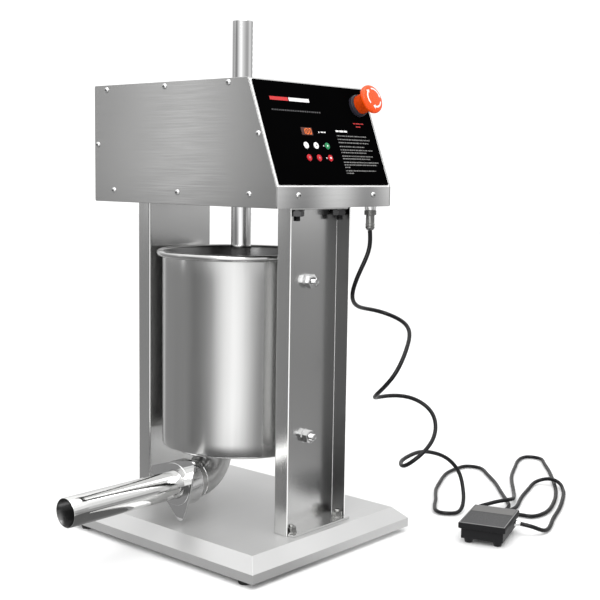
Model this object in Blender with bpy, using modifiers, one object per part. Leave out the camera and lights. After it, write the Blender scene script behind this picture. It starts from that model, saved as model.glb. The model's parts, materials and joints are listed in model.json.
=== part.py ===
"""Electric sausage stuffer with a foot pedal: one named, closed solid for each piece.

Units are metres, +Z is up, the floor is Z = 0 and the control panel faces -Y. Heights and
the Y positions are absolute. X positions are given from the axis of the filling cylinder,
and AXIS_X then moves everything so that the origin is under the middle of the machine.
"""
import math

import bmesh
import bpy
import numpy as np
from mathutils import Euler, Matrix, Vector

# ---- driving dimensions -------------------------------------------------------------
GAP = 0.0003                  # clearance kept between neighbouring pieces
FINE = 40                     # sides of the cylinder, its floor, the piston and its seal
ROUND = 24                    # sides of other round pieces
SMALL = 16                    # sides of small ones
SHEET = 0.0015                # thickness of the casing sheets

BASE_X = 0.324                # base pan, outer size at the foot of its skirt
BASE_Y = 0.369
BASE_LOW = 0.0072             # underside of the base pan
BASE_SKIRT = 0.0195           # top of the upright skirt
BASE_TOP = 0.036              # top of the raised floor
BASE_SLOPE = 0.0174           # plan width of the sloping edge
TUBE_REACH = 0.3053           # mouth of the filling tube, from the cylinder axis
AXIS_X = (TUBE_REACH - BASE_X / 2) / 2

HEAD_X = 0.231                # head, over its side covers
HEAD_LOW = 0.4694
HEAD_LIP = 0.496              # top of the upright front lip
HEAD_TOP = 0.631
HEAD_FRONT = -0.1735
HEAD_SLANT = -0.123           # top edge of the slanted panel
HEAD_REAR = 0.179
COVER = 0.002

COLUMN_X = 0.1214             # width of each channel column
COLUMN_WEB = 0.1248           # distance of the web from the cylinder axis
COLUMN_FLANGE = 0.0234        # depth of the channel's flanges
COLUMN_SHEET = 0.002

CYL_R = 0.110                 # filling cylinder, outer radius
CYL_WALL = 0.0015
CYL_LOW = 0.1302
CYL_RIM = 0.4050
RIM_R = 0.1178

OUTLET_X = -0.051             # upright leg of the outlet elbow
OUTLET_R = 0.0260
OUTLET_WALL = 0.0018
OUTLET_BEND = 0.038
TUBE_Z = 0.0907               # axis of the outlet and of the filling tube
TUBE_R = 0.0191
TUBE_WALL = 0.0013
NUT_FACE = -0.1245            # outer face of the wing nut
NUT_TURN = math.radians(74)   # the way the first of its three wings points

ROD_R = 0.0141
ROD_TOP = 0.7206
PISTON_LOW = 0.222
PISTON_THICK = 0.018
MODULE = 0.0025
TEETH = 12
RACK_FLAT = 0.0120            # tooth tips of the rack, from the rod axis
RACK_TIP = 0.7 * MODULE
PINION_TIP = 0.88 * MODULE
PINION_Z = 0.545

ESTOP_X = 0.086
ESTOP_S = 0.1150              # up the slanted panel from its lower edge
OVERLAY = 0.0012
KEY_COLUMNS = (-0.0405, -0.021, 0.0012)
KEY_ROWS = (0.0558, 0.0391)
KEY_R = 0.0046

SOCKET_X = 0.098              # pedal connector, under the front corner of the head
SOCKET_Y = -0.153
PLUG_LOW = 0.4365
INLET_Z = 0.510               # mains inlet on the back of the head

LOW_PIN_Z = 0.1585            # pivot pins that the cylinder hangs on
HIGH_PIN_Z = 0.370            # bolts that keep it upright

PEDAL_X = 0.223               # foot pedal: middle, from the cylinder axis
PEDAL_Y = -0.283
PEDAL_TURN = math.radians(18.6)
PEDAL_LONG = 0.094
PEDAL_WIDE = 0.067
PEDAL_TOP = 0.030

CORD_R = 0.003
FLOOR = 0.0035                # height of the lead's middle where it lies on the floor
OVER = 0.0112                 # and where it passes over itself
# The pedal lead from the plug to the gland of the pedal, from the cylinder axis. It hangs in
# slack turns, lands beside the base and lies in long loose loops behind the pedal.
CORD_ROUTE = (
    (0.098, -0.153, 0.4361), (0.098, -0.153, 0.414), (0.086, -0.148, 0.382),
    (0.086, -0.135, 0.352), (0.130, -0.112, 0.323), (0.184, -0.110, 0.311),
    (0.190, -0.146, 0.299), (0.152, -0.182, 0.270), (0.114, -0.186, 0.232),
    (0.120, -0.154, 0.202), (0.180, -0.128, 0.188), (0.226, -0.149, 0.178),
    (0.232, -0.172, 0.162), (0.220, -0.188, 0.142), (0.193, -0.197, 0.124),
    (0.164, -0.195, 0.109), (0.160, -0.178, 0.096), (0.176, -0.159, 0.094),
    (0.207, -0.150, 0.096), (0.247, -0.143, 0.094), (0.283, -0.142, 0.086),
    (0.310, -0.151, 0.073), (0.324, -0.164, 0.050), (0.318, -0.175, 0.032),
    (0.297, -0.190, 0.012), (0.273, -0.193, FLOOR), (0.259, -0.174, FLOOR),
    (0.275, -0.153, FLOOR), (0.308, -0.132, FLOOR), (0.352, -0.102, FLOOR),
    (0.409, -0.073, FLOOR), (0.461, -0.053, FLOOR), (0.494, -0.050, FLOOR),
    (0.517, -0.054, FLOOR), (0.523, -0.074, FLOOR), (0.507, -0.098, FLOOR),
    (0.461, -0.146, FLOOR), (0.416, -0.186, FLOOR), (0.382, -0.217, FLOOR),
    (0.356, -0.235, FLOOR), (0.329, -0.239, FLOOR), (0.310, -0.230, FLOOR),
    (0.308, -0.211, FLOOR), (0.322, -0.201, FLOOR), (0.338, -0.207, 0.006),
    (0.353, -0.219, 0.010), (0.368, -0.228, OVER), (0.395, -0.221, 0.007),
    (0.437, -0.196, FLOOR), (0.516, -0.145, FLOOR), (0.585, -0.112, FLOOR),
    (0.629, -0.095, FLOOR), (0.651, -0.097, FLOOR), (0.657, -0.117, FLOOR),
    (0.640, -0.136, FLOOR), (0.602, -0.166, FLOOR), (0.544, -0.208, FLOOR),
    (0.478, -0.250, FLOOR), (0.406, -0.282, FLOOR), (0.360, -0.291, FLOOR),
    (0.338, -0.283, FLOOR), (0.335, -0.272, FLOOR), (0.333, -0.259, FLOOR),
    (0.341, -0.248, FLOOR), (0.357, -0.245, FLOOR), (0.387, -0.235, FLOOR),
    (0.421, -0.221, FLOOR), (0.479, -0.202, FLOOR), (0.515, -0.199, 0.007),
    (0.520, -0.214, OVER), (0.520, -0.231, 0.009), (0.506, -0.247, FLOOR),
    (0.465, -0.270, FLOOR), (0.405, -0.296, FLOOR), (0.346, -0.317, FLOOR),
    (0.311, -0.331, FLOOR), (0.285, -0.335, 0.006), (0.269, -0.328, 0.013),
    (0.2625, -0.3125, 0.0156),
)

MATERIALS = {
    # name: (colour, metallic, roughness)
    "brushed_stainless": ((0.62, 0.62, 0.61), 1.0, 0.32),
    "polished_stainless": ((0.74, 0.74, 0.73), 1.0, 0.12),
    "chrome": ((0.80, 0.80, 0.80), 1.0, 0.08),
    "machined_steel": ((0.45, 0.45, 0.46), 1.0, 0.30),
    "aluminium": ((0.70, 0.70, 0.71), 1.0, 0.38),
    "black_rubber": ((0.02, 0.02, 0.02), 0.0, 0.75),
    "black_plastic": ((0.03, 0.03, 0.032), 0.0, 0.45),
    "grey_plastic": ((0.12, 0.12, 0.125), 0.0, 0.40),
    "white_plastic": ((0.80, 0.80, 0.78), 0.0, 0.40),
    "red_plastic": ((0.85, 0.12, 0.05), 0.0, 0.32),
    "green_plastic": ((0.05, 0.45, 0.16), 0.0, 0.35),
    "panel_black": ((0.008, 0.008, 0.009), 0.0, 0.15),
    "display_red": ((0.25, 0.03, 0.01), 0.0, 0.12),
    "circuit_green": ((0.03, 0.20, 0.09), 0.0, 0.45),
    "motor_enamel": ((0.10, 0.11, 0.12), 0.0, 0.40),
}

TO_FRONT = (math.pi / 2, 0, 0)         # local +Z points to -Y
TO_REAR = (-math.pi / 2, 0, 0)         # local +Z points to +Y
TO_TUBE = (0, -math.pi / 2, 0)         # local +Z points to -X
SLANT = math.atan2(HEAD_SLANT - HEAD_FRONT, HEAD_TOP - HEAD_LIP)
TO_PANEL = (math.pi / 2 - SLANT, 0, 0)  # local +Z is the panel's normal, +Y runs up it


# ---- scene helpers --------------------------------------------------------------------
def clear_scene():
    for item in list(bpy.data.objects):
        bpy.data.objects.remove(item, do_unlink=True)


def new_collection(name):
    group = bpy.data.collections.new(name)
    bpy.context.scene.collection.children.link(group)
    return group


def at(x, y, z):
    """A point given from the cylinder axis, in the part's own frame."""
    return Vector((x + AXIS_X, y, z))


def on_panel(x, along, height=0.0):
    """A point on the slanted panel: along it from its lower edge, height off its face."""
    y = HEAD_FRONT + along * math.sin(SLANT) - height * math.cos(SLANT)
    z = HEAD_LIP + along * math.cos(SLANT) + height * math.sin(SLANT)
    return at(x, y, z)


def material(name):
    found = bpy.data.materials.get(name)
    if found:
        return found
    colour, metallic, roughness = MATERIALS[name]
    made = bpy.data.materials.new(name)
    made.use_nodes = True
    shader = made.node_tree.nodes["Principled BSDF"]
    shader.inputs["Base Color"].default_value = (*colour, 1.0)
    shader.inputs["Metallic"].default_value = metallic
    shader.inputs["Roughness"].default_value = roughness
    made.diffuse_color = (*colour, 1.0)
    return made


def place(name, mesh, finish, location, rotation=(0, 0, 0)):
    """Put a mesh in the scene as a piece, or as a cutter when it has no finish."""
    piece = bpy.data.objects.new(name, mesh)
    piece.location = location
    piece.rotation_euler = rotation
    if finish is None:
        CUTTERS.objects.link(piece)
        piece.hide_render = True
        piece.display_type = "WIRE"
        return piece
    PARTS.objects.link(piece)
    mesh.materials.append(material(finish))
    mesh.shade_smooth()
    mesh.set_sharp_from_angle(angle=math.radians(32))
    return piece


def block(name, size, location, finish=None, rotation=(0, 0, 0), edge=0.0):
    """A box about its middle, with rounded edges if edge is given."""
    shape = bmesh.new()
    bmesh.ops.create_cube(shape, size=1.0)
    bmesh.ops.scale(shape, vec=size, verts=shape.verts)
    mesh = bpy.data.meshes.new(name)
    shape.to_mesh(mesh)
    shape.free()
    piece = place(name, mesh, finish, location, rotation)
    if edge:
        round_edges(piece, edge)
    return piece


def round_edges(piece, width, segments=2):
    bevel = piece.modifiers.new("edges", "BEVEL")
    bevel.width = width
    bevel.segments = segments
    bevel.limit_method = "ANGLE"
    bevel.angle_limit = math.radians(50)


def rod(name, radius, length, location, finish=None, rotation=(0, 0, 0), sides=ROUND):
    """A cylinder that starts at its location and runs along local +Z."""
    shape = bmesh.new()
    bmesh.ops.create_cone(shape, cap_ends=True, segments=sides, radius1=radius,
                          radius2=radius, depth=length)
    bmesh.ops.translate(shape, vec=(0, 0, length / 2), verts=shape.verts)
    mesh = bpy.data.meshes.new(name)
    shape.to_mesh(mesh)
    shape.free()
    return place(name, mesh, finish, location, rotation)


def turned(name, profile, location, finish=None, rotation=(0, 0, 0), sides=ROUND, ring=False):
    """Turn a profile of (radius, height) points; its outer side runs from top to bottom."""
    mesh = bpy.data.meshes.new(name)
    shape = bmesh.new()
    points = [shape.verts.new((radius, 0, height)) for radius, height in profile]
    for first, second in zip(points, points[1:]):
        shape.edges.new((first, second))
    if ring:
        shape.edges.new((points[-1], points[0]))
    shape.to_mesh(mesh)
    shape.free()
    piece = place(name, mesh, finish, location, rotation)
    screw = piece.modifiers.new("turn", "SCREW")
    screw.steps = sides
    screw.render_steps = sides
    screw.use_merge_vertices = True
    screw.merge_threshold = 0.00001
    screw.use_smooth_shade = True
    return piece


def washer(name, inner, outer, height, location, finish=None, rotation=(0, 0, 0), sides=ROUND):
    profile = [(inner, height), (outer, height), (outer, 0), (inner, 0)]
    return turned(name, profile, location, finish, rotation, sides, ring=True)


def curve_mesh(name, points, closed, thickness=0.0, tube=0.0, sides=2):
    """A flat outline made solid, or a tube along a line, as a closed mesh."""
    data = bpy.data.curves.new(name, "CURVE")
    data.dimensions = "3D" if tube else "2D"
    spline = data.splines.new("POLY")
    spline.points.add(len(points) - 1)
    for target, point in zip(spline.points, points):
        target.co = (*point, 1.0) if tube else (point[0], point[1], 0.0, 1.0)
    spline.use_cyclic_u = closed
    if tube:
        data.bevel_depth = tube
        data.bevel_resolution = sides
        data.use_fill_caps = True
    else:
        data.fill_mode = "BOTH"
        data.extrude = thickness / 2
    helper = bpy.data.objects.new(name, data)
    CUTTERS.objects.link(helper)
    depsgraph = bpy.context.evaluated_depsgraph_get()
    mesh = bpy.data.meshes.new_from_object(helper.evaluated_get(depsgraph))
    shape = bmesh.new()
    shape.from_mesh(mesh)
    bmesh.ops.remove_doubles(shape, verts=shape.verts, dist=0.000001)
    bmesh.ops.recalc_face_normals(shape, faces=shape.faces)
    shape.to_mesh(mesh)
    shape.free()
    bpy.data.objects.remove(helper, do_unlink=True)
    return mesh


def plate(name, outline, thickness, location, finish=None, rotation=(0, 0, 0)):
    """A flat outline extruded half its thickness to each side of its plane."""
    mesh = curve_mesh(name, outline, True, thickness=thickness)
    return place(name, mesh, finish, location, rotation)


def pipe(name, points, radius, finish=None, sides=2):
    mesh = curve_mesh(name, points, False, tube=radius, sides=sides)
    return place(name, mesh, finish, (AXIS_X, 0, 0))


def folded(name, line, length, thickness, location, finish, rotation=(0, 0, 0)):
    """A bent sheet: a line in local XY drawn out along local Z, with thickness to its left."""
    shape = bmesh.new()
    points = [shape.verts.new((x, y, -length / 2)) for x, y in line]
    edges = [shape.edges.new(pair) for pair in zip(points, points[1:])]
    drawn = bmesh.ops.extrude_edge_only(shape, edges=edges)["geom"]
    moved = [item for item in drawn if isinstance(item, bmesh.types.BMVert)]
    bmesh.ops.translate(shape, vec=(0, 0, length), verts=moved)
    mesh = bpy.data.meshes.new(name)
    shape.to_mesh(mesh)
    shape.free()
    piece = place(name, mesh, finish, location, rotation)
    solid = piece.modifiers.new("sheet", "SOLIDIFY")
    solid.thickness = thickness
    solid.offset = -1.0
    solid.use_even_offset = True
    return piece


def combine(piece, other, operation):
    step = piece.modifiers.new(operation.lower() + "_" + other.name, "BOOLEAN")
    step.operation = operation
    step.solver = "EXACT"
    step.object = other


def cut(piece, *cutters):
    for cutter in cutters:
        combine(piece, cutter, "DIFFERENCE")


def join(piece, *others):
    for other in others:
        combine(piece, other, "UNION")


def arc(centre, radius, start, end, steps):
    """Points on an arc, angles in radians, both ends included."""
    points = []
    for step in range(steps + 1):
        angle = start + (end - start) * step / steps
        points.append((centre[0] + radius * math.cos(angle),
                       centre[1] + radius * math.sin(angle)))
    return points


def rounded(corners, radius, closed=False, steps=3):
    """An outline through the corners, with each corner replaced by a short arc."""
    count = len(corners)
    points = []
    for index, corner in enumerate(corners):
        if not closed and index in (0, count - 1):
            points.append(corner)
            continue
        here = Vector(corner)
        back = (Vector(corners[index - 1]) - here).normalized()
        ahead = (Vector(corners[(index + 1) % count]) - here).normalized()
        half = back.angle(ahead) / 2
        centre = here + (back + ahead).normalized() * radius / math.sin(half)
        start = here + back * radius / math.tan(half) - centre
        turn = start.angle_signed(here + ahead * radius / math.tan(half) - centre)
        for step in range(steps + 1):
            points.append(tuple(centre + Matrix.Rotation(-turn * step / steps, 2) @ start))
    return points


def smooth_line(points, parts):
    """A natural cubic spline through the points, parts steps to each, kept off the floor."""
    knots = np.array(points)
    spans = np.linalg.norm(np.diff(knots, axis=0), axis=1)
    slopes = np.diff(knots, axis=0) / spans[:, None]
    count = len(knots)
    system = np.eye(count)
    right = np.zeros((count, 3))
    for k in range(1, count - 1):
        system[k, k - 1:k + 2] = (spans[k - 1], 2 * (spans[k - 1] + spans[k]), spans[k])
        right[k] = 6 * (slopes[k] - slopes[k - 1])
    bends = np.linalg.solve(system, right)
    line = []
    for k, span in enumerate(spans):
        for step in range(parts):
            ahead = step / parts
            back = 1 - ahead
            pull = (back ** 3 - back) * bends[k] + (ahead ** 3 - ahead) * bends[k + 1]
            x, y, z = back * knots[k] + ahead * knots[k + 1] + pull * span ** 2 / 6
            line.append(Vector((x, y, max(z, FLOOR))))
    line.append(Vector(knots[-1]))
    return line


def thinned(line, turn, reach):
    """Keep the points of a line where it has turned enough or gone far enough."""
    kept = [line[0]]
    heading = line[1] - line[0]
    for here, ahead in zip(line[1:-1], line[2:]):
        turned_by = heading.angle(ahead - here)
        if turned_by > turn or (here - kept[-1]).length > reach:
            kept.append(here)
            heading = ahead - here
    kept.append(line[-1])
    return kept


# ---- base and frame -------------------------------------------------------------------
def base_plate():
    """A folded pan: skirt, sloping edge and raised floor, with a return flange below."""
    flange = 0.024
    shape = bmesh.new()
    bmesh.ops.create_cube(shape, size=1.0)
    bmesh.ops.scale(shape, vec=(BASE_X, BASE_Y, BASE_SKIRT - BASE_LOW), verts=shape.verts)
    bmesh.ops.translate(shape, vec=(0, 0, (BASE_SKIRT + BASE_LOW) / 2), verts=shape.verts)
    top = max(shape.faces, key=lambda face: face.calc_center_median().z)
    raised = bmesh.ops.extrude_face_region(shape, geom=[top])["geom"]
    bmesh.ops.delete(shape, geom=[top], context="FACES_ONLY")
    lifted = [item for item in raised if isinstance(item, bmesh.types.BMVert)]
    shrink = (1 - 2 * BASE_SLOPE / BASE_X, 1 - 2 * BASE_SLOPE / BASE_Y, 1)
    bmesh.ops.scale(shape, vec=shrink, verts=lifted)
    bmesh.ops.translate(shape, vec=(0, 0, BASE_TOP - BASE_SKIRT), verts=lifted)
    bottom = min(shape.faces, key=lambda face: face.calc_center_median().z)
    bmesh.ops.inset_region(shape, faces=[bottom], thickness=flange)
    bmesh.ops.delete(shape, geom=[bottom], context="FACES")
    mesh = bpy.data.meshes.new("base_plate")
    shape.to_mesh(mesh)
    shape.free()
    pan = place("base_plate", mesh, "brushed_stainless", at(0, 0, 0))
    solid = pan.modifiers.new("sheet", "SOLIDIFY")
    solid.thickness = SHEET
    solid.offset = -1.0
    solid.use_even_offset = True


def feet():
    """Rubber feet under the return flange."""
    inset_x = 0.0135
    inset_y = 0.026
    top = BASE_LOW - GAP
    profile = [(0, top), (0.0095, top), (0.0095, 0.0045), (0.0082, 0), (0, 0)]
    for side, sign_x in (("left", -1), ("right", 1)):
        for end, sign_y in (("front", -1), ("rear", 1)):
            spot = at(sign_x * (BASE_X / 2 - inset_x), sign_y * (BASE_Y / 2 - inset_y), 0)
            turned(f"foot_{end}_{side}", profile, spot, "black_rubber")


def column(name, sign):
    """A channel with its web to the cylinder and a bolting tab at each end."""
    low = BASE_TOP + GAP
    high = HEAD_LOW - GAP
    half = COLUMN_X / 2
    line = rounded([(-half, -COLUMN_FLANGE), (-half, 0), (half, 0), (half, -COLUMN_FLANGE)],
                   0.003)
    turn = (0, 0, 0) if sign < 0 else (0, 0, math.pi)
    outward = TO_FRONT if sign < 0 else TO_REAR
    middle = at(0, sign * COLUMN_WEB, (high + low) / 2)
    body = folded(name, line, high - low, COLUMN_SHEET, middle, "brushed_stainless", turn)
    tab = 0.003
    for label, reach, height in (("foot", 0.033, low + tab / 2), ("head", 0.021, high - tab / 2)):
        out = COLUMN_WEB + COLUMN_SHEET / 2 + reach / 2
        join(body, block(f"{name}_{label}_tab", (COLUMN_X - 0.0055, reach, tab),
                         at(0, sign * out, height)))
    for height in (LOW_PIN_Z, HIGH_PIN_Z):
        cut(body, rod(f"{name}_hole_{height:.3f}", 0.0053, 0.02,
                      at(0, sign * (COLUMN_WEB - 0.005), height), rotation=outward))


# ---- head -----------------------------------------------------------------------------
def head():
    """The folded shell, its two side covers and its floor."""
    inner = HEAD_X - 2 * (COVER + GAP)
    corners = [(HEAD_FRONT, HEAD_LOW), (HEAD_FRONT, HEAD_LIP), (HEAD_SLANT, HEAD_TOP),
               (HEAD_REAR, HEAD_TOP), (HEAD_REAR, HEAD_LOW)]
    upright = (math.pi / 2, 0, math.pi / 2)      # the outline's X runs to +Y, its Y up
    shell = folded("head_shell", rounded(corners, 0.003), inner, SHEET, at(0, 0, 0),
                   "brushed_stainless", upright)
    cut(shell, rod("rod_exit_hole", ROD_R + 0.0012, 0.01, at(0, 0, HEAD_TOP - 0.005)))
    cut(shell, rod("estop_hole", 0.0092, 0.01, on_panel(ESTOP_X, ESTOP_S, -0.005),
                   rotation=TO_PANEL))
    for name, sign in (("head_left_cover", -1), ("head_right_cover", 1)):
        plate(name, rounded(corners, 0.0025, closed=True), COVER,
              at(sign * (HEAD_X - COVER) / 2, 0, 0), "brushed_stainless", upright)

    front = HEAD_FRONT + SHEET + GAP
    rear = HEAD_REAR - SHEET - GAP
    floor = block("head_floor", (inner - 0.0006, rear - front, COVER),
                  at(0, (front + rear) / 2, HEAD_LOW + COVER / 2), "brushed_stainless")
    cut(floor, rod("floor_rod_hole", 0.0188, 0.01, at(0, 0, HEAD_LOW - 0.004)))
    cut(floor, rod("floor_socket_hole", 0.0068, 0.01, at(SOCKET_X, SOCKET_Y, HEAD_LOW - 0.004)))


def rod_bushes():
    """Plastic bushes that guide the rod through the floor and under the top."""
    bore = ROD_R + GAP
    low = HEAD_LOW - 0.004
    profile = [(bore, low + 0.014), (0.0185, low + 0.014), (0.0185, HEAD_LOW - GAP),
               (0.0225, HEAD_LOW - GAP), (0.0225, low), (bore, low)]
    turned("lower_rod_bush", profile, at(0, 0, 0), "white_plastic", ring=True)
    under = HEAD_TOP - SHEET - GAP
    washer("upper_rod_bush", bore, 0.024, 0.012, at(0, 0, under - 0.012), "white_plastic", sides=FINE)


# ---- rack, pinion and drive -----------------------------------------------------------
def rack_rod():
    """A round bar milled flat on its +X side, with straight-flanked teeth cut in the flat."""
    low = PISTON_LOW + PISTON_THICK + GAP
    chamfer = 0.0012
    profile = [(0, ROD_TOP), (ROD_R - chamfer, ROD_TOP), (ROD_R, ROD_TOP - chamfer),
               (ROD_R, low), (0, low)]
    bar = turned("rack_rod", profile, at(0, 0, 0), "chrome")
    pitch = math.pi * MODULE
    pitch_x = RACK_FLAT - RACK_TIP
    root_x = pitch_x - 1.15 * MODULE
    flank = math.tan(math.radians(20))
    half_gap = pitch / 4 + GAP / 2               # half a tooth space on the pitch line
    first = -round((PINION_Z - 0.275) / pitch)
    last = round((ROD_TOP - 0.014 - PINION_Z) / pitch)
    bottom = PINION_Z + (first - 0.5) * pitch
    top = PINION_Z + (last + 0.5) * pitch
    comb = [(0.03, bottom), (RACK_FLAT, bottom)]
    for number in range(first, last + 1):
        middle = PINION_Z + number * pitch
        wide = half_gap + flank * (RACK_FLAT - pitch_x)
        narrow = half_gap - flank * (pitch_x - root_x)
        comb += [(RACK_FLAT, middle - wide), (root_x, middle - narrow),
                 (root_x, middle + narrow), (RACK_FLAT, middle + wide)]
    comb += [(RACK_FLAT, top), (0.03, top)]
    cut(bar, plate("rack_comb", comb, 0.04, at(0, 0, 0), rotation=(math.pi / 2, 0, 0)))
    cut(bar, rod("rod_bolt_bore", 0.0063, 0.034, at(0, 0, low - 0.01)))


def pinion_shaft():
    """A straight-toothed pinion on its shaft, with involute flanks."""
    pitch_r = MODULE * TEETH / 2
    base_r = pitch_r * math.cos(math.radians(20))
    tip_r = pitch_r + PINION_TIP
    root_r = pitch_r - 1.15 * MODULE
    involute = math.tan(math.radians(20)) - math.radians(20)
    half_tooth = math.pi / (2 * TEETH) - GAP / (2 * pitch_r) + involute

    def flank_angle(radius):
        pressure = math.acos(min(1.0, base_r / radius))
        return half_tooth - (math.tan(pressure) - pressure)

    radii = [base_r + (tip_r - base_r) * step / 3 for step in range(4)]
    outline = []
    for tooth in range(TEETH):
        middle = math.pi + tooth * 2 * math.pi / TEETH
        side = [(root_r, half_tooth)] + [(radius, flank_angle(radius)) for radius in radii]
        for radius, angle in side:
            outline.append((radius * math.cos(middle - angle), radius * math.sin(middle - angle)))
        for radius, angle in reversed(side):
            outline.append((radius * math.cos(middle + angle), radius * math.sin(middle + angle)))
    centre = (RACK_FLAT - RACK_TIP + pitch_r, 0, PINION_Z)
    gear = plate("pinion_shaft", outline, 0.018, at(*centre), "machined_steel",
                 rotation=TO_FRONT)
    join(gear, rod("pinion_arbor", 0.008, 0.080, at(centre[0], 0.052, PINION_Z),
                   rotation=TO_FRONT))
    return centre[0]


def drive(centre_x):
    """The bracket with the pinion's bearings, the reduction gear head and the motor."""
    low = HEAD_LOW + COVER + GAP
    wall = 0.005
    side_y = 0.0225
    front_x = centre_x - 0.021
    back_x = centre_x + 0.031
    tall = 0.100
    middle_x = (front_x + back_x) / 2
    bracket = block("pinion_bracket", (back_x - front_x, 2 * side_y + wall, tall),
                    at(middle_x, 0, low + tall / 2), "aluminium")
    cut(bracket, block("bracket_hollow", (back_x - front_x, 2 * side_y - wall, tall + 0.02),
                       at(middle_x - wall, 0, low + tall / 2)))
    cut(bracket, rod("bearing_bores", 0.0135, 0.08, at(centre_x, 0.04, PINION_Z),
                     rotation=TO_FRONT))
    for name, middle in (("pinion_bearing_front", -side_y), ("pinion_bearing_rear", side_y)):
        washer(name, 0.0083, 0.0132, wall, at(centre_x, middle + wall / 2, PINION_Z),
               "machined_steel", TO_FRONT)

    gear_front = side_y + wall / 2 + 0.012
    gear_depth = 0.036
    gear = block("gear_head", (0.084, gear_depth, 0.084),
                 at(centre_x, gear_front + gear_depth / 2, PINION_Z), "aluminium", edge=0.004)
    cut(gear, rod("gear_bore", 0.0083, 0.03, at(centre_x, gear_front + 0.020, PINION_Z),
                  rotation=TO_FRONT))
    motor_front = gear_front + gear_depth + GAP
    length = HEAD_REAR - SHEET - 0.010 - motor_front
    profile = [(0, length), (0.030, length), (0.036, length - 0.006), (0.036, 0.006),
               (0.039, 0.006), (0.039, 0), (0, 0)]
    turned("drive_motor", profile, at(centre_x, motor_front, PINION_Z), "motor_enamel",
           TO_REAR)


# ---- cylinder and piston --------------------------------------------------------------
def cylinder():
    """The can's wall with its rolled rim, on a round floor that holds the outlet."""
    thick = 0.002
    low = CYL_LOW + thick + GAP
    inner = CYL_R - CYL_WALL
    bead = 0.0045
    bead_x = RIM_R - bead
    top = CYL_RIM - bead
    curl = arc((bead_x, top), bead, math.radians(150), math.radians(-200), 7)
    profile = [(inner, low), (inner, top)] + curl + [(CYL_R, top - 0.007), (CYL_R, low)]
    turned("cylinder", profile, at(0, 0, 0), "polished_stainless", sides=FINE, ring=True)
    floor = rod("cylinder_floor", CYL_R, thick, at(0, 0, CYL_LOW), "polished_stainless",
                sides=FINE)
    cut(floor, rod("outlet_hole", OUTLET_R - OUTLET_WALL, 0.02, at(OUTLET_X, 0, CYL_LOW - 0.01),
                   sides=32))


def piston():
    """The disc with its seal, the bolt that clamps it from below and the air valve."""
    inner = CYL_R - CYL_WALL
    groove = 0.0035
    low = PISTON_LOW
    high = PISTON_LOW + PISTON_THICK
    edge = inner - 0.0012
    profile = [(0.0063, high), (edge, high), (edge, high - 0.005), (edge - groove, high - 0.005),
               (edge - groove, low + 0.005), (edge, low + 0.005), (edge, low),
               (0.0105, low), (0.0105, low + 0.006), (0.0063, low + 0.006)]
    disc = turned("piston_disc", profile, at(0, 0, 0), "white_plastic", sides=FINE, ring=True)
    valve_x = -0.060
    cut(disc, rod("valve_bore", 0.0056, 0.04, at(valve_x, 0, low - 0.01)))
    cut(disc, rod("valve_seat", 0.0090, 0.0065, at(valve_x, 0, high - 0.0045)))
    washer("piston_seal", edge - groove + GAP, inner - GAP, PISTON_THICK - 0.010 - 2 * GAP,
           at(0, 0, low + 0.005 + GAP), "black_rubber", sides=FINE)
    bolt = [(0, low + 0.038), (0.0060, low + 0.038), (0.0060, low + 0.0057),
            (0.0100, low + 0.0057), (0.0100, low + 0.0006), (0, low + 0.0006)]
    turned("piston_bolt", bolt, at(0, 0, 0), "chrome")
    valve = [(0, high + 0.004), (0.0070, high + 0.004), (0.0085, high + 0.002),
             (0.0085, high - 0.0042), (0.0052, high - 0.0042), (0.0052, low - 0.0045),
             (0.0068, low - 0.0045), (0.0068, low - 0.0060), (0, low - 0.0060)]
    turned("air_valve", valve, at(valve_x, 0, 0), "chrome")


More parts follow.
